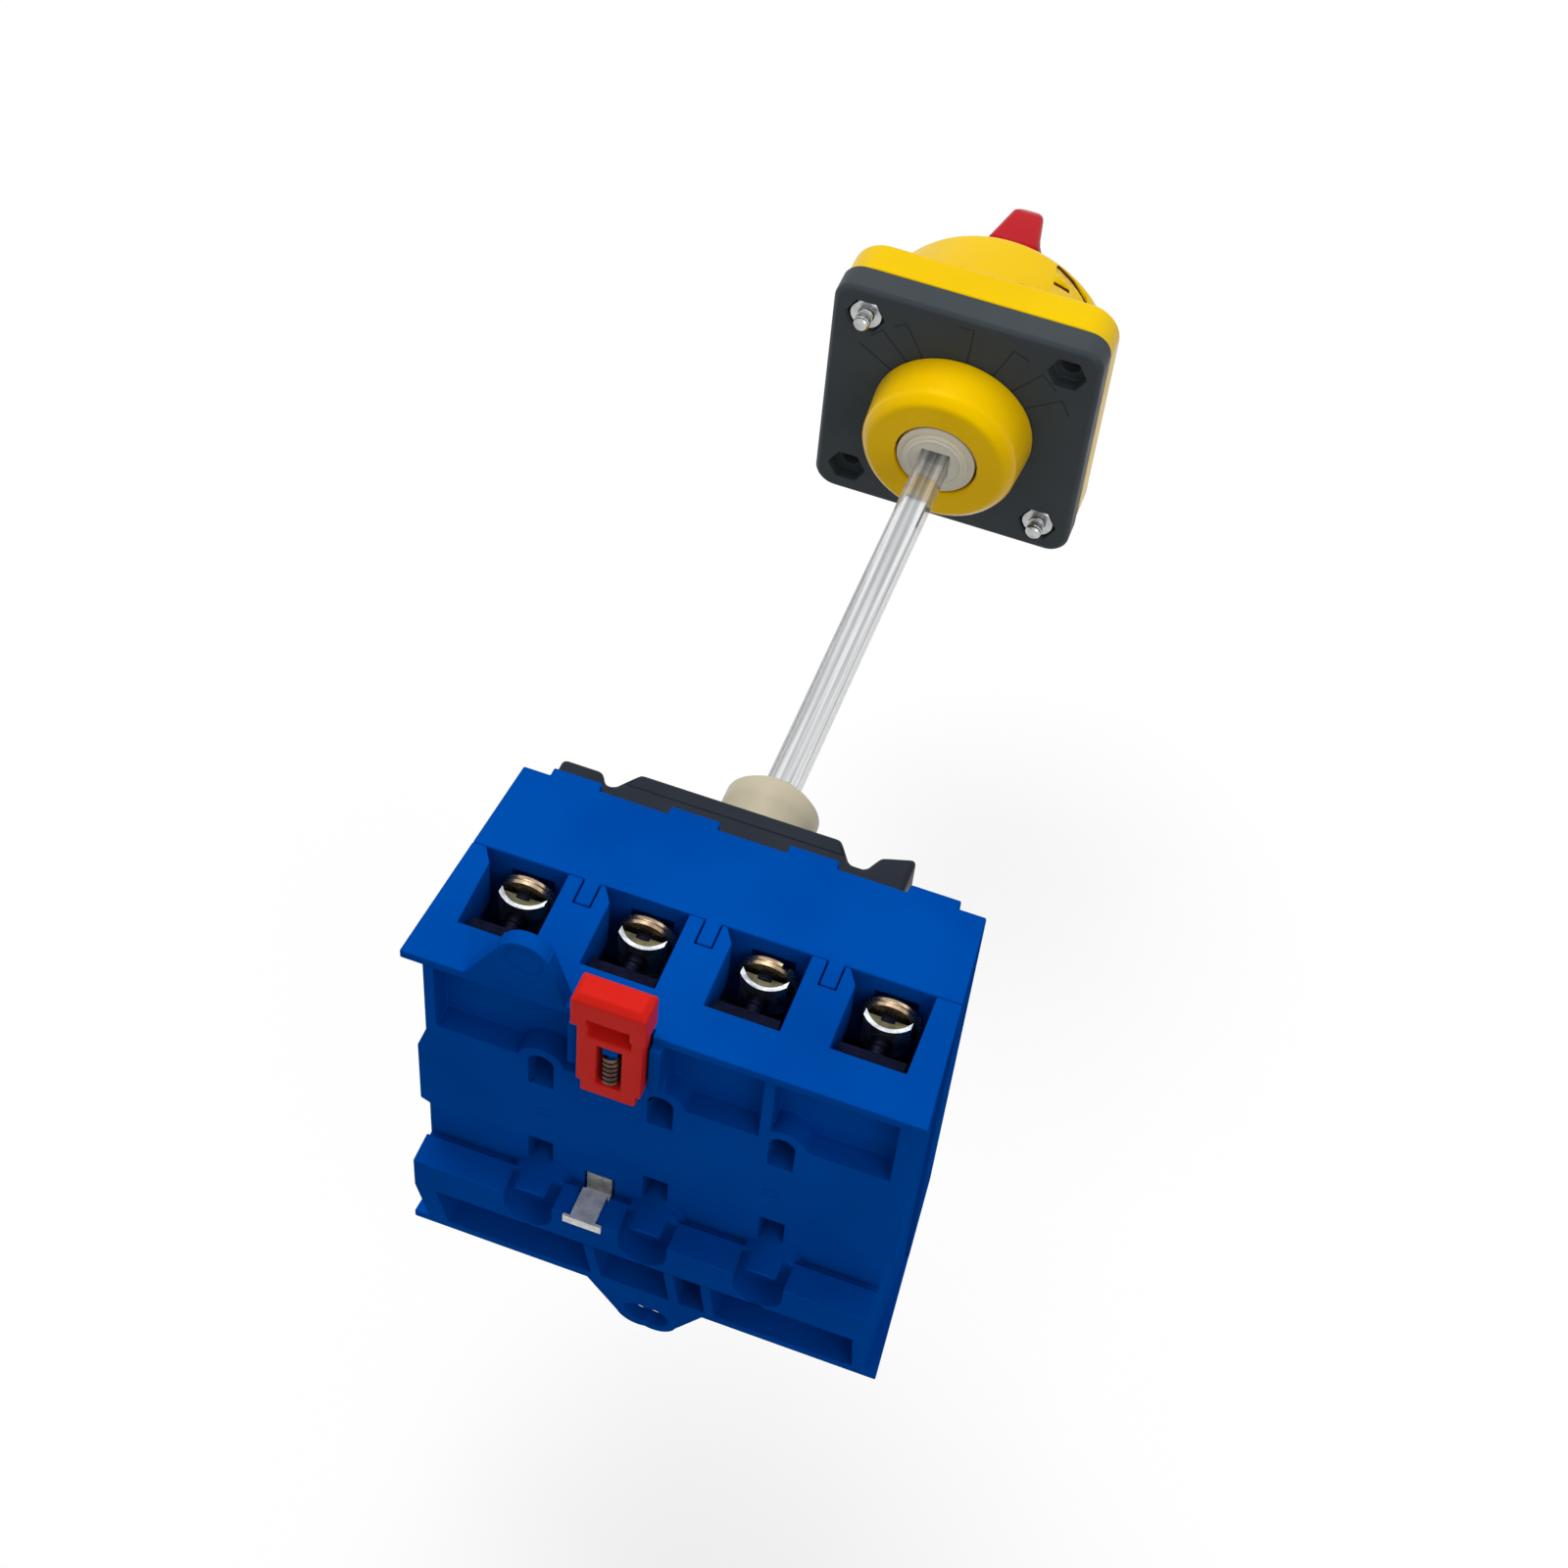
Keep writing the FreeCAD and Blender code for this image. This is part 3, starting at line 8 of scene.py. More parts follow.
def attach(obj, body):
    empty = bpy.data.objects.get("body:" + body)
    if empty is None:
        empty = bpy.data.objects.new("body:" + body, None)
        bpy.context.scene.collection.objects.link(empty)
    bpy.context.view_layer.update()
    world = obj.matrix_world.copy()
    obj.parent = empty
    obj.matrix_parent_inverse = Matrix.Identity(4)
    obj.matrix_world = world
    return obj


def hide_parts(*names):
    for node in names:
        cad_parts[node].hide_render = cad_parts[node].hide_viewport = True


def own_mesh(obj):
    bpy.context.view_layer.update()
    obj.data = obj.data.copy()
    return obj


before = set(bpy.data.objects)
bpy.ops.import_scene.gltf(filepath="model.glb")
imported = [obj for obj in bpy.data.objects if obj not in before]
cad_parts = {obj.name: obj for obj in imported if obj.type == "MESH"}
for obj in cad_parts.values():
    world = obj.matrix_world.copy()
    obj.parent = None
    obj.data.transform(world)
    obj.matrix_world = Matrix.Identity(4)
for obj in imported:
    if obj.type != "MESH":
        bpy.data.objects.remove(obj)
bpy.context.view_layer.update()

MM = 0.001
scene = bpy.context.scene
scene.view_settings.view_transform = "Standard"

# Sizes shared with the CAD part, in millimetres.
POLE_PITCH = 17.5
POLE_X = [20.0 - POLE_PITCH * i for i in range(4)]
SCREW_Z = 28.0
HEAD_FRONT = -17.7
PLATE_BACK = -158.6
CORNER = 18.0

# Turns of a local Z axis: towards the rail, +Y, and towards the handle's front.
TO_BACK, TO_FRONT = (-90, 0, 0), (90, 0, 0)


def tint(red, green, blue):
    """A colour written as sRGB numbers from 0 to 255, turned to linear."""
    def linear(value):
        value /= 255
        return value / 12.92 if value <= 0.04045 else ((value + 0.055) / 1.055) ** 2.4
    return (linear(red), linear(green), linear(blue), 1.0)


class Finish:
    """A material with a Principled shader and short calls for its procedural nodes."""

    def __init__(self, name):
        self.material = bpy.data.materials.new(name)
        self.material.use_nodes = True
        self.nodes = self.material.node_tree.nodes
        self.links = self.material.node_tree.links
        self.shader = self.nodes["Principled BSDF"]
        self.place = self.nodes.new("ShaderNodeTexCoord").outputs["Object"]

    def node(self, kind, **values):
        made = self.nodes.new("ShaderNode" + kind)
        for key, value in values.items():
            setattr(made, key, value)
        return made

    def mapped(self, scale):
        """The object's coordinates, scaled by axis."""
        mapping = self.node("Mapping")
        mapping.inputs["Scale"].default_value = scale
        self.links.new(self.place, mapping.inputs["Vector"])
        return mapping.outputs["Vector"]

    def noise(self, size, detail=3.0, roughness=0.55, place=None):
        """Noise whose lumps are about size millimetres wide."""
        made = self.node("TexNoise")
        made.inputs["Scale"].default_value = 1 / (size * MM)
        made.inputs["Detail"].default_value = detail
        made.inputs["Roughness"].default_value = roughness
        self.links.new(place or self.place, made.inputs["Vector"])
        return made.outputs["Fac"]

    def spread(self, value, low, high, start=0.3, end=0.7):
        """Takes a value between start and end to between low and high."""
        made = self.node("MapRange")
        made.inputs["From Min"].default_value = start
        made.inputs["From Max"].default_value = end
        made.inputs["To Min"].default_value = low
        made.inputs["To Max"].default_value = high
        self.links.new(value, made.inputs["Value"])
        return made.outputs["Result"]

    def blend(self, amount, first, second):
        """A mix of two colours."""
        made = self.node("Mix", data_type="RGBA")
        for socket, colour in (("A_Color", first), ("B_Color", second)):
            next(item for item in made.inputs if item.identifier == socket).default_value = colour
        self.links.new(amount, made.inputs["Factor"])
        return next(item for item in made.outputs if item.identifier == "Result_Color")

    def bump(self, height, distance, strength, below=None):
        """A normal with relief of a distance in millimetres, on top of another bump if one is given."""
        made = self.node("Bump")
        made.inputs["Distance"].default_value = distance * MM
        made.inputs["Strength"].default_value = strength
        self.links.new(height, made.inputs["Height"])
        if below:
            self.links.new(below, made.inputs["Normal"])
        return made.outputs["Normal"]

    def feed(self, socket, value):
        """Gives a shader socket a constant or another node's output."""
        target = self.shader.inputs[socket]
        if isinstance(value, bpy.types.NodeSocket):
            self.links.new(value, target)
        else:
            target.default_value = value


def moulded(name, colour, shade, rough=(0.34, 0.46), gloss=0.2, grain=0.22, glow=0.0):
    """Injection moulded plastic: fine grain, faint flow marks and a slow change of tone."""
    finish = Finish(name)
    tone = finish.spread(finish.noise(26, 2), 0, 1)
    finish.feed("Base Color", finish.blend(tone, colour, shade))
    finish.feed("Roughness", finish.spread(finish.noise(5, 4), *rough))
    flow = finish.bump(finish.noise(9, 2), 0.05, 0.25)
    finish.feed("Normal", finish.bump(finish.noise(grain, 2), 0.012, 0.5, flow))
    finish.shader.inputs["Specular IOR Level"].default_value = gloss
    strongest = max(colour[:3])
    finish.shader.inputs["Specular Tint"].default_value = [value / strongest for value in colour[:3]] + [1.0]
    if glow:
        finish.feed("Subsurface Weight", glow)
        finish.feed("Subsurface Radius", (1.0, 0.9, 0.7))
        finish.feed("Subsurface Scale", 0.9 * MM)
    return finish.material


def plated(name, colour, stain, rough=(0.2, 0.36), stretch=(1, 1, 1), line=0.25):
    """Plated metal with drawn lines and a slow stain."""
    finish = Finish(name)
    finish.feed("Metallic", 1.0)
    tone = finish.spread(finish.noise(2.2, 4), 0, 1, 0.35, 0.65)
    finish.feed("Base Color", finish.blend(tone, colour, stain))
    drawn = finish.noise(line, 3, 0.6, finish.mapped(stretch))
    finish.feed("Roughness", finish.spread(drawn, *rough))
    finish.feed("Normal", finish.bump(drawn, 0.01, 0.4))
    return finish.material


def clear_plastic(name):
    """Clear extruded rod with grey lengthwise draw lines."""
    finish = Finish(name)
    streaks = finish.spread(finish.noise(1.1, 2, 0.5, finish.mapped((1, 0.012, 1))), 0, 1, 0.42, 0.6)
    finish.feed("Base Color", finish.blend(streaks, tint(168, 170, 172), tint(250, 251, 252)))
    lines = finish.noise(0.4, 2, 0.5, finish.mapped((1, 0.02, 1)))
    finish.feed("Roughness", finish.spread(lines, 0.03, 0.12))
    finish.feed("Normal", finish.bump(lines, 0.02, 0.2))
    finish.shader.inputs["Transmission Weight"].default_value = 0.82
    finish.shader.inputs["IOR"].default_value = 1.49
    return finish.material


BLUE = moulded("housing_blue", tint(0, 76, 169), tint(0, 66, 152), (0.36, 0.5), gloss=0.0)
CHARCOAL = moulded("frame_black", tint(40, 44, 52), tint(34, 38, 46), (0.42, 0.55), gloss=0.08)
RED = moulded("latch_red", tint(212, 38, 30), tint(200, 30, 24), gloss=0.06)
KNOB_RED = moulded("knob_red", tint(186, 32, 40), tint(172, 24, 32), (0.25, 0.36), gloss=0.12)
YELLOW = moulded("yellow", tint(238, 198, 2), tint(232, 190, 0), (0.24, 0.34), gloss=0.16)
# The boss takes a lighter copy of the yellow: painted light for its face, which the lamps light less than the
# dome.
BOSS_YELLOW_PAINTED_LIGHT = moulded("boss_yellow_painted_light", tint(246, 200, 2), tint(240, 190, 0), (0.2, 0.3), gloss=0.3)
SLATE = moulded("slate", tint(65, 71, 75), tint(57, 63, 67), (0.42, 0.56), gloss=0.12)
SHADOW_RED = moulded("shadow_red", tint(96, 34, 10), tint(70, 22, 6), gloss=0.04)
BEIGE = moulded("hub_beige", tint(204, 196, 172), tint(194, 185, 160), (0.34, 0.48), grain=0.3, glow=0.25)
MILKY = moulded("natural_white", tint(232, 226, 208), tint(218, 212, 194), (0.3, 0.42), grain=0.3, glow=0.35)
CLEAR = clear_plastic("clear")
STEEL = plated("steel", tint(206, 182, 150), tint(150, 130, 106))
BRIGHT_STEEL = plated("bright_steel", tint(196, 198, 198), tint(168, 170, 170), (0.2, 0.34))
# Dark olive steel for the clamp webs: painted shade under the screw heads.
WEB_STEEL_PAINTED_SHADE = plated("web_steel_painted_shade", tint(84, 80, 60), tint(58, 56, 44), (0.4, 0.55))
# Dark navy steel for the screw shanks: painted shade, so they sink into the shade of the pole chambers.
SHANK_STEEL_PAINTED_SHADE = plated("black_steel_painted_shade", tint(22, 24, 38), tint(14, 16, 28), (0.45, 0.6))
CLAMP_STEEL = plated("clamp_steel", tint(172, 176, 180), tint(116, 120, 126), (0.35, 0.5), line=0.4)
SPRING_STEEL = plated("spring_steel", tint(178, 170, 162), tint(122, 108, 98), (0.2, 0.34))
COIL_STEEL = plated("coil_steel", tint(120, 98, 88), tint(74, 58, 54), (0.25, 0.4))
CLIP_STEEL = plated("clip_steel", tint(214, 214, 210), tint(176, 178, 180), (0.5, 0.6), line=0.6)
COPPER = plated("copper", tint(204, 128, 92), tint(170, 96, 66), (0.3, 0.45), (1, 1, 0.05))
# The terminal bars are painted near-black navy: painted shade for the inside of the pole chambers, not the
# copper's own colour.
COPPER_PAINTED_SHADE = plated("copper_painted_shade", tint(14, 16, 34), tint(9, 10, 24), (0.5, 0.62), (1, 1, 0.05))
SILVER = plated("silver", tint(226, 226, 228), tint(196, 196, 198), (0.2, 0.34))

NODE_FINISH = {
    "base_housing": BLUE, "front_cover": BLUE, "front_frame": CHARCOAL, "body_screws": STEEL,
    "terminal_bars": COPPER_PAINTED_SHADE, "terminal_screws": STEEL, "wire_clamps": CLAMP_STEEL,
    "fixed_contact_tips": SILVER, "moving_contacts": COPPER, "contact_springs": SPRING_STEEL,
    "contact_carriage": MILKY, "drive_hub": BEIGE, "extension_shaft": CLEAR, "coupling_ring": MILKY,
    "handle_boss": BOSS_YELLOW_PAINTED_LIGHT, "handle_plate": SLATE, "escutcheon": YELLOW, "knob": KNOB_RED,
    "handle_screws": BRIGHT_STEEL, "handle_nuts": BRIGHT_STEEL, "rail_latch": RED,
    "latch_spring": COIL_STEEL, "rail_clip": CLIP_STEEL,
}
for node, material in NODE_FINISH.items():
    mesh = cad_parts[node].data
    mesh.materials.clear()
    mesh.materials.append(material)


# Mesh helpers.
def linked(name, data):
    made = bpy.data.objects.new(name, data)
    scene.collection.objects.link(made)
    return made


def plain(made):
    """Turns an object's evaluated modifiers into its mesh."""
    bpy.context.view_layer.update()
    graph = bpy.context.evaluated_depsgraph_get()
    mesh = bpy.data.meshes.new_from_object(made.evaluated_get(graph))
    made.modifiers.clear()
    made.data = mesh
    return made


def shaded(mesh, angle=32):
    """Smooth faces, with sharp edges above an angle in degrees."""
    for face in mesh.polygons:
        face.use_smooth = True
    mesh.set_sharp_from_angle(angle=math.radians(angle))


def drop(*made):
    for item in made:
        bpy.data.objects.remove(item)


def revolved(name, profile, steps=40):
    """A closed mesh turned about its Z axis from (radius, height) pairs in mm, axis to axis."""
    mesh = bmesh.new()
    rings = []
    for radius, height in profile:
        count = steps if radius else 1
        rings.append([mesh.verts.new((radius * MM * math.cos(math.tau * i / steps),
                                      radius * MM * math.sin(math.tau * i / steps), height * MM))
                      for i in range(count)])
    for low, high in zip(rings, rings[1:]):
        for i in range(steps):
            corners = dict.fromkeys((low[i % len(low)], low[(i + 1) % len(low)],
                                     high[(i + 1) % len(high)], high[i % len(high)]))
            if len(corners) > 2:
                mesh.faces.new(list(corners))
    bmesh.ops.recalc_face_normals(mesh, faces=mesh.faces)
    data = bpy.data.meshes.new(name)
    mesh.to_mesh(data)
    mesh.free()
    return linked(name, data)


def prism(name, outline, low, high):
    """A closed prism along Z over an outline in mm."""
    mesh = bmesh.new()
    foot = mesh.faces.new([mesh.verts.new((x * MM, y * MM, low * MM)) for x, y in outline])
    top = bmesh.ops.extrude_face_region(mesh, geom=[foot])["geom"]
    moved = [item for item in top if isinstance(item, bmesh.types.BMVert)]
    bmesh.ops.translate(mesh, verts=moved, vec=(0, 0, (high - low) * MM))
    bmesh.ops.recalc_face_normals(mesh, faces=mesh.faces)
    data = bpy.data.meshes.new(name)
    mesh.to_mesh(data)
    mesh.free()
    return linked(name, data)


def block(name, half_x, half_y, low, high):
    """A box in mm with its middle on the Z axis."""
    outline = [(-half_x, -half_y), (half_x, -half_y), (half_x, half_y), (-half_x, half_y)]
    return prism(name, outline, low, high)


def carved(made, *tools, operation="DIFFERENCE"):
    """Cuts tools out of a piece, or keeps what lies in them, and removes them."""
    for tool in tools:
        step = made.modifiers.new("carved", "BOOLEAN")
        step.operation = operation
        step.solver = "EXACT"
        step.object = tool
    plain(made)
    drop(*tools)


def merged(made, *others):
    """Adds other pieces to a piece as shells of their own."""
    mesh = bmesh.new()
    for item in (made,) + others:
        mesh.from_mesh(item.data)
    mesh.to_mesh(made.data)
    mesh.free()
    drop(*others)
    return made


# Geometry node trees.
class Tree:
    """A geometry node group with named inputs that ends in Realize Instances and Set Material."""

    def __init__(self, name, **asked):
        self.group = bpy.data.node_groups.new(name, "GeometryNodeTree")
        face = self.group.interface
        face.new_socket(name="Geometry", in_out="INPUT", socket_type="NodeSocketGeometry")
        face.new_socket(name="Geometry", in_out="OUTPUT", socket_type="NodeSocketGeometry")
        for label, kind in dict(asked, Finish="Material").items():
            face.new_socket(name=label, in_out="INPUT", socket_type="NodeSocket" + kind)
        self.given = self.group.nodes.new("NodeGroupInput").outputs

    def node(self, kind, inputs=None, **values):
        made = self.group.nodes.new(kind)
        for key, value in values.items():
            setattr(made, key, value)
        for key, value in (inputs or {}).items():
            if isinstance(value, bpy.types.NodeSocket):
                self.group.links.new(value, made.inputs[key])
            else:
                made.inputs[key].default_value = value
        return made

    def end(self, geometry):
        real = self.node("GeometryNodeRealizeInstances", {"Geometry": geometry})
        painted = self.node("GeometryNodeSetMaterial", {"Geometry": real.outputs["Geometry"],
                                                        "Material": self.given["Finish"]})
        self.node("NodeGroupOutput", {"Geometry": painted.outputs["Geometry"]})

    def attach(self, made, **values):
        step = made.modifiers.new(self.group.name, "NODES")
        step.node_group = self.group
        for item in self.group.interface.items_tree:
            if item.in_out == "INPUT" and item.name in values:
                step[item.identifier] = values[item.name]


REPEAT = Tree("repeated_on_points", Piece="Object")
info = REPEAT.node("GeometryNodeObjectInfo", {"Object": REPEAT.given["Piece"]})
turn = REPEAT.node("GeometryNodeInputNamedAttribute", {"Name": "turn"}, data_type="FLOAT_VECTOR")
euler = REPEAT.node("FunctionNodeEulerToRotation", {0: turn.outputs["Attribute"]})
put = REPEAT.node("GeometryNodeInstanceOnPoints", {
    "Points": REPEAT.given["Geometry"], "Instance": info.outputs["Geometry"],
    "Rotation": euler.outputs["Rotation"]})
REPEAT.end(put.outputs["Instances"])

THREAD = Tree("thread_ridge", Radius="Float", Pitch="Float", Length="Float", Ridge="Float")
rounds = THREAD.node("ShaderNodeMath", {0: THREAD.given["Length"], 1: THREAD.given["Pitch"]},
                     operation="DIVIDE")
helix = THREAD.node("GeometryNodeCurveSpiral", {
    "Resolution": 24, "Rotations": rounds.outputs[0], "Start Radius": THREAD.given["Radius"],
    "End Radius": THREAD.given["Radius"], "Height": THREAD.given["Length"]})
section = THREAD.node("GeometryNodeCurvePrimitiveCircle", {"Resolution": 4, "Radius": THREAD.given["Ridge"]})
ridge = THREAD.node("GeometryNodeCurveToMesh", {
    "Curve": helix.outputs["Curve"], "Profile Curve": section.outputs["Curve"], "Fill Caps": True})
THREAD.end(ridge.outputs["Mesh"])


def square_bar(tree):
    """A bar of the tree's Width along the curve in its Path."""
    trail = tree.node("GeometryNodeObjectInfo", {"Object": tree.given["Path"]})
    section = tree.node("GeometryNodeCurvePrimitiveQuadrilateral",
                        {"Width": tree.given["Width"], "Height": tree.given["Width"]})
    bar = tree.node("GeometryNodeCurveToMesh", {
        "Curve": trail.outputs["Geometry"], "Profile Curve": section.outputs["Curve"], "Fill Caps": True})
    return bar.outputs["Mesh"]


ENGRAVE = Tree("engraved_along_path", Path="Object", Width="Float")
carve = ENGRAVE.node("GeometryNodeMeshBoolean", {
    "Mesh 1": ENGRAVE.given["Geometry"], "Mesh 2": square_bar(ENGRAVE)},
                     operation="DIFFERENCE", solver="EXACT")
ENGRAVE.end(carve.outputs["Mesh"])

BAR = Tree("bar_along_path", Path="Object", Width="Float")
BAR.end(square_bar(BAR))


def path(name, lines):
    """A curve object of straight runs through points in mm."""
    curve = bpy.data.curves.new(name, "CURVE")
    curve.dimensions = "3D"
    for line in lines:
        run = curve.splines.new("POLY")
        run.points.add(len(line) - 1)
        for knot, spot in zip(run.points, line):
            knot.co = (*(value * MM for value in spot), 1)
    return linked(name, curve)


def threaded(radius, pitch, start, length, ridge, finish):
    """A thread ridge about Z from start upwards."""
    made = linked("thread", bpy.data.meshes.new("thread"))
    THREAD.attach(made, Radius=radius * MM, Pitch=pitch * MM, Length=length * MM, Ridge=ridge * MM,
                  Finish=finish)
    plain(made)
    made.data.transform(Matrix.Translation((0, 0, start * MM)))
    return made


def repeated(name, piece, spots, turns, finish):
    """Copies of a piece at spots in mm, each turned by Euler degrees."""
    points = bpy.data.meshes.new(name)
    points.from_pydata([tuple(value * MM for value in spot) for spot in spots], [], [])
    stored = points.attributes.new("turn", "FLOAT_VECTOR", "POINT")
    for item, turn in zip(stored.data, turns):
        item.vector = [math.radians(value) for value in turn]
    made = linked(name, points)
    REPEAT.attach(made, Piece=piece, Finish=finish)
    plain(made)
    drop(piece)
    shaded(made.data)
    return made


def given_to(made, body, slot, *nodes):
    """The piece rides on a body and stands for the nodes, if any, which it hides; slot is not used."""
    if nodes:
        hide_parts(*nodes)
    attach(made, body)


WELD = 0.002 * MM
FLAT_ANGLE, EDGE_ANGLE = math.radians(0.5), math.radians(28)


def softened(node, width, body, slot, steps=2, engrave=None, cuts=()):
    """A copy of a CAD node that stands for it, with its sharp edges rounded by a width in mm.

    engrave gives (lines, width) in mm, and cuts are pieces to cut out of it.
    """
    made = linked(node + "_rounded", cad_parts[node].data.copy())
    cage = bmesh.new()
    cage.from_mesh(made.data)
    bmesh.ops.remove_doubles(cage, verts=cage.verts, dist=WELD)
    bmesh.ops.dissolve_limit(cage, angle_limit=FLAT_ANGLE, verts=cage.verts, edges=cage.edges)
    cage.to_mesh(made.data)
    cage.free()
    if cuts:
        carved(made, *cuts)
    for face in made.data.polygons:
        face.use_smooth = True
    bevel = made.modifiers.new("rounded edges", "BEVEL")
    bevel.limit_method = "ANGLE"
    bevel.angle_limit = EDGE_ANGLE
    bevel.width = width * MM
    bevel.segments = steps
    bevel.use_clamp_overlap = False
    if engrave:
        lines, wide = engrave
        trail = path(node + "_lines", lines)
        ENGRAVE.attach(made, Path=trail, Width=wide * MM, Finish=NODE_FINISH[node])
    even = made.modifiers.new("even faces", "WEIGHTED_NORMAL")
    even.weight = 100
    plain(made)
    if engrave:
        drop(trail)
    given_to(made, body, slot, node)


# Housing, cover and frame. Each upper window goes deep into the wall between two pole chambers.
WINDOW_X, WINDOW_HALF, WINDOW_LOW, WINDOW_HIGH = 11.1, 1.85, 10.0, 15.5
WINDOW_FRONT, WINDOW_BACK = -15.0, 3.0
windows = []
for i in range(3):
    window = block("window", WINDOW_HALF, (WINDOW_BACK - WINDOW_FRONT) / 2, WINDOW_LOW, WINDOW_HIGH)
    middle = ((WINDOW_X - POLE_PITCH * i) * MM, (WINDOW_FRONT + WINDOW_BACK) / 2 * MM, 0)
    window.data.transform(Matrix.Translation(middle))
    windows.append(window)
softened("base_housing", 0.2, "body", "housing_blue", cuts=windows)
softened("front_cover", 0.28, "body", "housing_blue")
FRAME_LIP = [[(-20.5, -45.6, 21.2), (20.0, -45.6, 21.2)]]
softened("front_frame", 0.9, "body", "frame_black", 3, engrave=(FRAME_LIP, 0.35))

# Fillet from the hub's disc to its neck, which narrows towards the frame.
FILLET_FRONT = -64.1
FILLET = [(0, 0), (7.4, 0), (7.67, 0.1), (7.66, 0.6), (7.58, 1.2), (7.42, 1.9), (7.1, 2.9), (6.88, 4.8),
          (0, 4.8)]
fillet = revolved("hub_fillet", FILLET, 64)
ring = repeated("hub_fillet_ring", fillet, [(0, FILLET_FRONT, 0)], [TO_BACK], BEIGE)
given_to(ring, "drive", "hub_beige")

# The latch spring is held at its upper end; a smooth-shaded copy of it rides on the body.
softened("rail_latch", 0.25, "latch", "latch_red")
spring = linked("latch_spring_coil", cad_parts["latch_spring"].data.copy())
shaded(spring.data, 60)
given_to(spring, "body", "spring_steel", "latch_spring")
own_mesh(spring)

# Handle plate with fan lines round the boss: the bearing of each line, and how far its end turns aside.
FAN = [(147, 0), (132, 7), (119, 7), (87, 7), (67, -8), (50, -10), (34, -9)]
FAN_IN, FAN_OUT = 12.0, 21.8


def fan_point(bearing, radius):
    """A point on the back of the plate, round the shaft."""
    turn = math.radians(bearing)
    return (-radius * math.cos(turn), PLATE_BACK, radius * math.sin(turn))


fan = []
for bearing, swing in FAN:
    fan.append([fan_point(bearing, FAN_IN), fan_point(bearing, FAN_OUT)])
    if swing:
        fan[-1].append(fan_point(bearing + swing, FAN_OUT))
softened("handle_plate", 0.3, "body", "slate", engrave=(fan, 0.4))

# Yellow dome with two slits, each by its (bearing, y, radius), and in each slit a bed painted dark red: the red
# part behind the slit, with painted shade.
SLITS = (((25, -183.2, 21.5), (35, -182.4, 21.6), (48, -180.6, 21.9)), ((26, -178.2, 22.2), (35, -179.2, 22.1)))
SLIT_DEEP, SLIT_WIDE, BED_DEEP, BED_WIDE = 0.3, 1.1, 0.65, 0.9


def slit_lines(deeper):
    """The two slits as lines of points, set in from the face of the dome."""
    lines = []
    for slit in SLITS:
        lines.append([((deeper - radius) * math.sin(math.radians(bearing)), y,
                       (radius - deeper) * math.cos(math.radians(bearing))) for bearing, y, radius in slit])
    return lines


softened("escutcheon", 0.5, "body", "yellow", engrave=(slit_lines(SLIT_DEEP), SLIT_WIDE))
trail = path("slit_beds", slit_lines(BED_DEEP))
beds = linked("slit_beds", bpy.data.meshes.new("slit_beds"))
BAR.attach(beds, Path=trail, Width=BED_WIDE * MM, Finish=SHADOW_RED)
given_to(plain(beds), "body", "yellow")
drop(trail)
softened("knob", 1.0, "drive", "knob_red", 3)
softened("handle_boss", 0.6, "body", "yellow", 3)

# Terminal screws with a grooved rim, a cross slot and a thread; local Z points out of the head.
SCREW_HEAD = [(0, 0), (3.6, 0), (4.15, -0.2), (4.35, -0.55), (4.1, -0.85), (4.1, -1.0), (4.35, -1.3),
              (4.2, -1.75), (3.6, -1.9), (0, -1.9)]
SCREW_SHANK = [(0, -1.85), (2.6, -1.85), (2.6, -3.0), (1.5, -3.02), (1.5, -10.5), (1.2, -10.76), (0, -10.76)]
SCREW_SPOTS = [(x, HEAD_FRONT, z) for z in (SCREW_Z, -SCREW_Z) for x in POLE_X]
SCREW_TURNS = [(90, spin, 0) for spin in (12, -34, 58, 5, 80, -18, 33, -61)]
screw = revolved("screw", SCREW_HEAD)
carved(screw, block("slot", 4.6, 0.55, low=-0.95, high=1), block("cross", 0.45, 2.4, low=-0.9, high=1))
heads = repeated("terminal_screw_heads", screw, SCREW_SPOTS, SCREW_TURNS, STEEL)
given_to(heads, "body", "steel", "terminal_screws")
# The shanks and their threads are painted dark, as painted shade inside the chambers.
shank = revolved("shank", SCREW_SHANK)
merged(shank, threaded(radius=1.45, pitch=0.7, start=-10.3, length=7.2, ridge=0.16, finish=SHANK_STEEL_PAINTED_SHADE))
shanks = repeated("terminal_screw_shanks", shank, SCREW_SPOTS, SCREW_TURNS, SHANK_STEEL_PAINTED_SHADE)
given_to(shanks, "body", "steel")

# Handle nuts with chamfered corners, and handle screws whose threaded tails stand out behind the plate.
NUT_R, NUT_HIGH, NUT_BACK, BOLT_HEAD = 3.15, 2.3, -159.05, -173.14
NUT_CONE = [(0, -0.01), (2.75, -0.01), (3.25, 0.4), (3.25, 1.9), (2.75, 2.31), (0, 2.31)]
NUT_BORE = [(0, -1), (1.53, -1), (1.53, 3.3), (0, 3.3)]
BOLT = [(0, -0.1), (1.6, -0.1), (2.35, -0.5), (2.7, -1.2), (2.7, -1.9), (1.35, -1.92), (1.35, -16.8),
        (1.05, -17.12), (0, -17.12)]


def two_corners(y):
    """The two opposite corners of the plate that hold a screw."""
    return [(CORNER, y, CORNER), (-CORNER, y, -CORNER)]


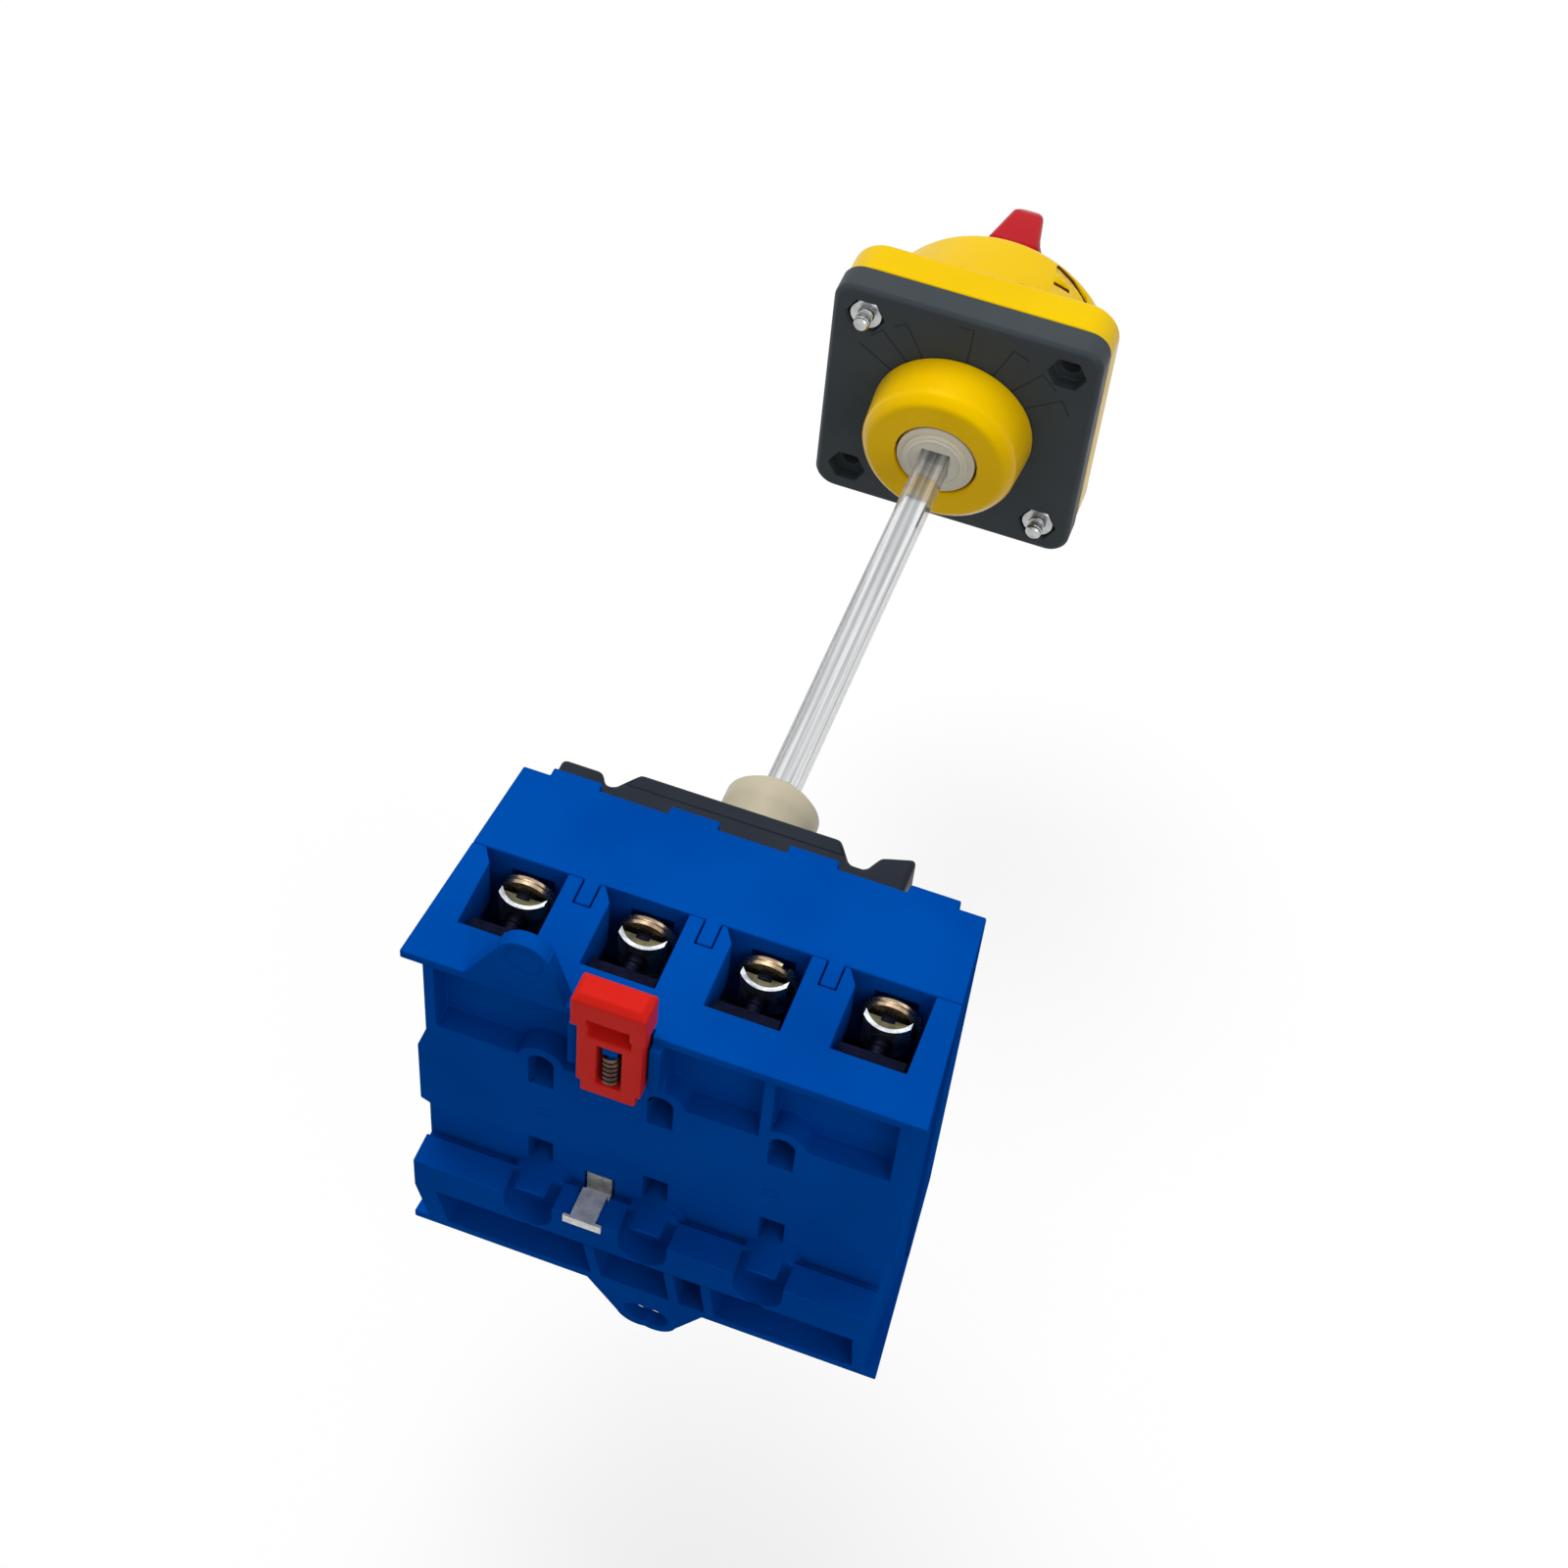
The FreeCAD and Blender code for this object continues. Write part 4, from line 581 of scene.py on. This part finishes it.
hexagon = [(NUT_R * math.cos(math.tau * i / 6), NUT_R * math.sin(math.tau * i / 6)) for i in range(6)]
nut = prism("nut", hexagon, 0, NUT_HIGH)
carved(nut, revolved("nut_cone", NUT_CONE), operation="INTERSECT")
carved(nut, revolved("nut_bore", NUT_BORE))
nuts = repeated("handle_nuts_chamfered", nut, two_corners(NUT_BACK), [TO_FRONT, TO_FRONT], BRIGHT_STEEL)
given_to(nuts, "body", "steel", "handle_nuts")
bolt = revolved("bolt", BOLT)
carved(bolt, block("slot", 3.2, 0.4, low=-1.1, high=1))
merged(bolt, threaded(radius=1.32, pitch=0.5, start=-16.7, length=14.0, ridge=0.15, finish=BRIGHT_STEEL))
BOLT_TURNS = [(90, 25, 0), (90, -40, 0)]
bolts = repeated("handle_screws_threaded", bolt, two_corners(BOLT_HEAD), BOLT_TURNS, BRIGHT_STEEL)
given_to(bolts, "body", "steel", "handle_screws")

# Wire clamps: two bent sheets in each other, with a pressed web near each end painted dark olive as painted
# shade under the screw head.
SADDLE_R, SADDLE_WIDE, SADDLE_BACK, SADDLE_END = 4.2, 3.3, -12.8, -15.64
WEB_R, WEB_LOW, WEB_HIGH = 3.4, 2.0, 2.4


def saddle_line(radius):
    """The outline of a bent sheet's face at a radius, from side to side."""
    return [(x, max(SADDLE_END, SADDLE_BACK - SADDLE_R + math.sqrt(radius ** 2 - x ** 2)))
            for x in (SADDLE_WIDE * (i / 8 - 1) for i in range(17))]


def sheet(name, outside, inside, half):
    """A bent sheet between two radii, to half its width each way."""
    return prism(name, saddle_line(outside) + saddle_line(inside)[::-1], -half, half)


SADDLE_SPOTS = [(x, 0, z) for z in (SCREW_Z, -SCREW_Z) for x in POLE_X]
UPRIGHT = [(0, 0, 0)] * len(SADDLE_SPOTS)
clamp = merged(sheet("clamp", SADDLE_R, 3.84, 2.9), sheet("clamp_lining", 3.78, 3.46, 2.7))
clamps = repeated("wire_clamps_bent", clamp, SADDLE_SPOTS, UPRIGHT, CLAMP_STEEL)
given_to(clamps, "body", "steel", "wire_clamps")
web_line = saddle_line(WEB_R)[1:-1]
web = merged(prism("web", web_line, WEB_LOW, WEB_HIGH), prism("web_low", web_line, -WEB_HIGH, -WEB_LOW))
given_to(repeated("wire_clamp_webs", web, SADDLE_SPOTS, UPRIGHT, WEB_STEEL_PAINTED_SHADE), "body", "steel")

# A raised bead on the coupling ring, round the shaft.
SHAFT_ROOM = 2.52
BEAD = [(0, -0.3), (5.3, -0.3), (5.2, 0.12), (4.9, 0.22), (4.55, 0.12), (4.45, -0.15), (0, -0.15)]
bead = revolved("bead", BEAD, 64)
carved(bead, block("bore", SHAFT_ROOM, SHAFT_ROOM, low=-1, high=1))
ring_face = max(vertex.co.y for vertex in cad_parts["coupling_ring"].data.vertices) / MM
ring = repeated("coupling_ring_bead", bead, [(0, ring_face, 0)], [TO_BACK], MILKY)
given_to(ring, "drive", "natural_white")

# Small moulding rings on the rail seat face.
MARK = [(0, -0.05), (1.05, -0.05), (1.05, 0.1), (0.75, 0.1), (0.75, 0.02), (0, 0.02)]
MARK_SPOTS = [(10.7, 0, 3.5), (-23.3, 0, 3.1)]
mark = revolved("mark", MARK, 24)
marks = repeated("moulding_rings", mark, MARK_SPOTS, [TO_BACK, TO_BACK], BLUE)
given_to(marks, "body", "housing_blue")

# Floor, backdrop and studio light. Floor and sky look brighter to the camera than the light they cast.
FLOOR_Z, FLOOR_SPAN = -0.11, 6.0
FLOOR_GREY, FLOOR_LIFT = 0.34, 0.66
SKY_CAST, SKY_SEEN = 0.55, 1.0
LIGHTS_AIM = (0, -0.08, 0)
WHITE = (1, 1, 1, 1)


def seen_directly(nodes, links):
    """1 for a ray that shows the backdrop to the camera, straight or by a reflection."""
    ray = nodes.new("ShaderNodeLightPath").outputs
    most = ray["Is Camera Ray"]
    for kind in ("Is Glossy Ray", "Is Transmission Ray"):
        larger = nodes.new("ShaderNodeMath")
        larger.operation = "MAXIMUM"
        links.new(most, larger.inputs[0])
        links.new(ray[kind], larger.inputs[1])
        most = larger.outputs[0]
    return most


floor = bpy.data.meshes.new("floor")
corners = [(x * FLOOR_SPAN, y * FLOOR_SPAN, FLOOR_Z) for x, y in ((-1, -1), (1, -1), (1, 1), (-1, 1))]
floor.from_pydata(corners, [], [(0, 1, 2, 3)])
floor_paint = bpy.data.materials.new("floor_white")
floor_paint.use_nodes = True
nodes, links = floor_paint.node_tree.nodes, floor_paint.node_tree.links
nodes.clear()
matt = nodes.new("ShaderNodeBsdfDiffuse")
matt.inputs["Color"].default_value = (FLOOR_GREY, FLOOR_GREY, FLOOR_GREY, 1)
light = nodes.new("ShaderNodeEmission")
light.inputs["Color"].default_value = WHITE
lift = nodes.new("ShaderNodeMath")
lift.operation = "MULTIPLY"
lift.inputs[1].default_value = FLOOR_LIFT
links.new(seen_directly(nodes, links), lift.inputs[0])
links.new(lift.outputs[0], light.inputs["Strength"])
both = nodes.new("ShaderNodeAddShader")
links.new(matt.outputs[0], both.inputs[0])
links.new(light.outputs[0], both.inputs[1])
output = nodes.new("ShaderNodeOutputMaterial")
links.new(both.outputs[0], output.inputs["Surface"])
floor.materials.append(floor_paint)
linked("floor", floor)

world = bpy.data.worlds.new("studio")
scene.world = world
world.use_nodes = True
nodes, links = world.node_tree.nodes, world.node_tree.links
nodes.clear()
sky = nodes.new("ShaderNodeBackground")
sky.inputs["Color"].default_value = WHITE
level = nodes.new("ShaderNodeMapRange")
level.inputs["To Min"].default_value = SKY_CAST
level.inputs["To Max"].default_value = SKY_SEEN
links.new(seen_directly(nodes, links), level.inputs["Value"])
links.new(level.outputs["Result"], sky.inputs["Strength"])
output = nodes.new("ShaderNodeOutputWorld")
links.new(sky.outputs[0], output.inputs["Surface"])


def softbox(name, spot, size, power):
    """A round area lamp that looks at the part."""
    lamp = bpy.data.lights.new(name, "AREA")
    lamp.shape = "DISK"
    lamp.size = size
    lamp.energy = power
    made = linked(name, lamp)
    made.location = spot
    made.rotation_euler = (Vector(LIGHTS_AIM) - Vector(spot)).to_track_quat("-Z", "Y").to_euler()


softbox("key", (0.25, -0.35, 1.0), 0.7, 6.5)
softbox("fill", (-0.8, 0.7, 0.7), 0.9, 2.8)

# The camera that was recovered from the photo, with its turn in degrees.
FOCAL_LENGTH, SENSOR_WIDTH = 63.78, 36
CAMERA_SPOT = (-0.0685172, 0.1907655, 0.3366365)
CAMERA_TURN = (38.6287, -4.0224, -160.3103)
lens = bpy.data.cameras.new("camera")
lens.lens = FOCAL_LENGTH
lens.sensor_width = SENSOR_WIDTH
camera = linked("camera", lens)
camera.location = CAMERA_SPOT
camera.rotation_euler = [math.radians(turn) for turn in CAMERA_TURN]
scene.camera = camera

bpy.context.view_layer.update()
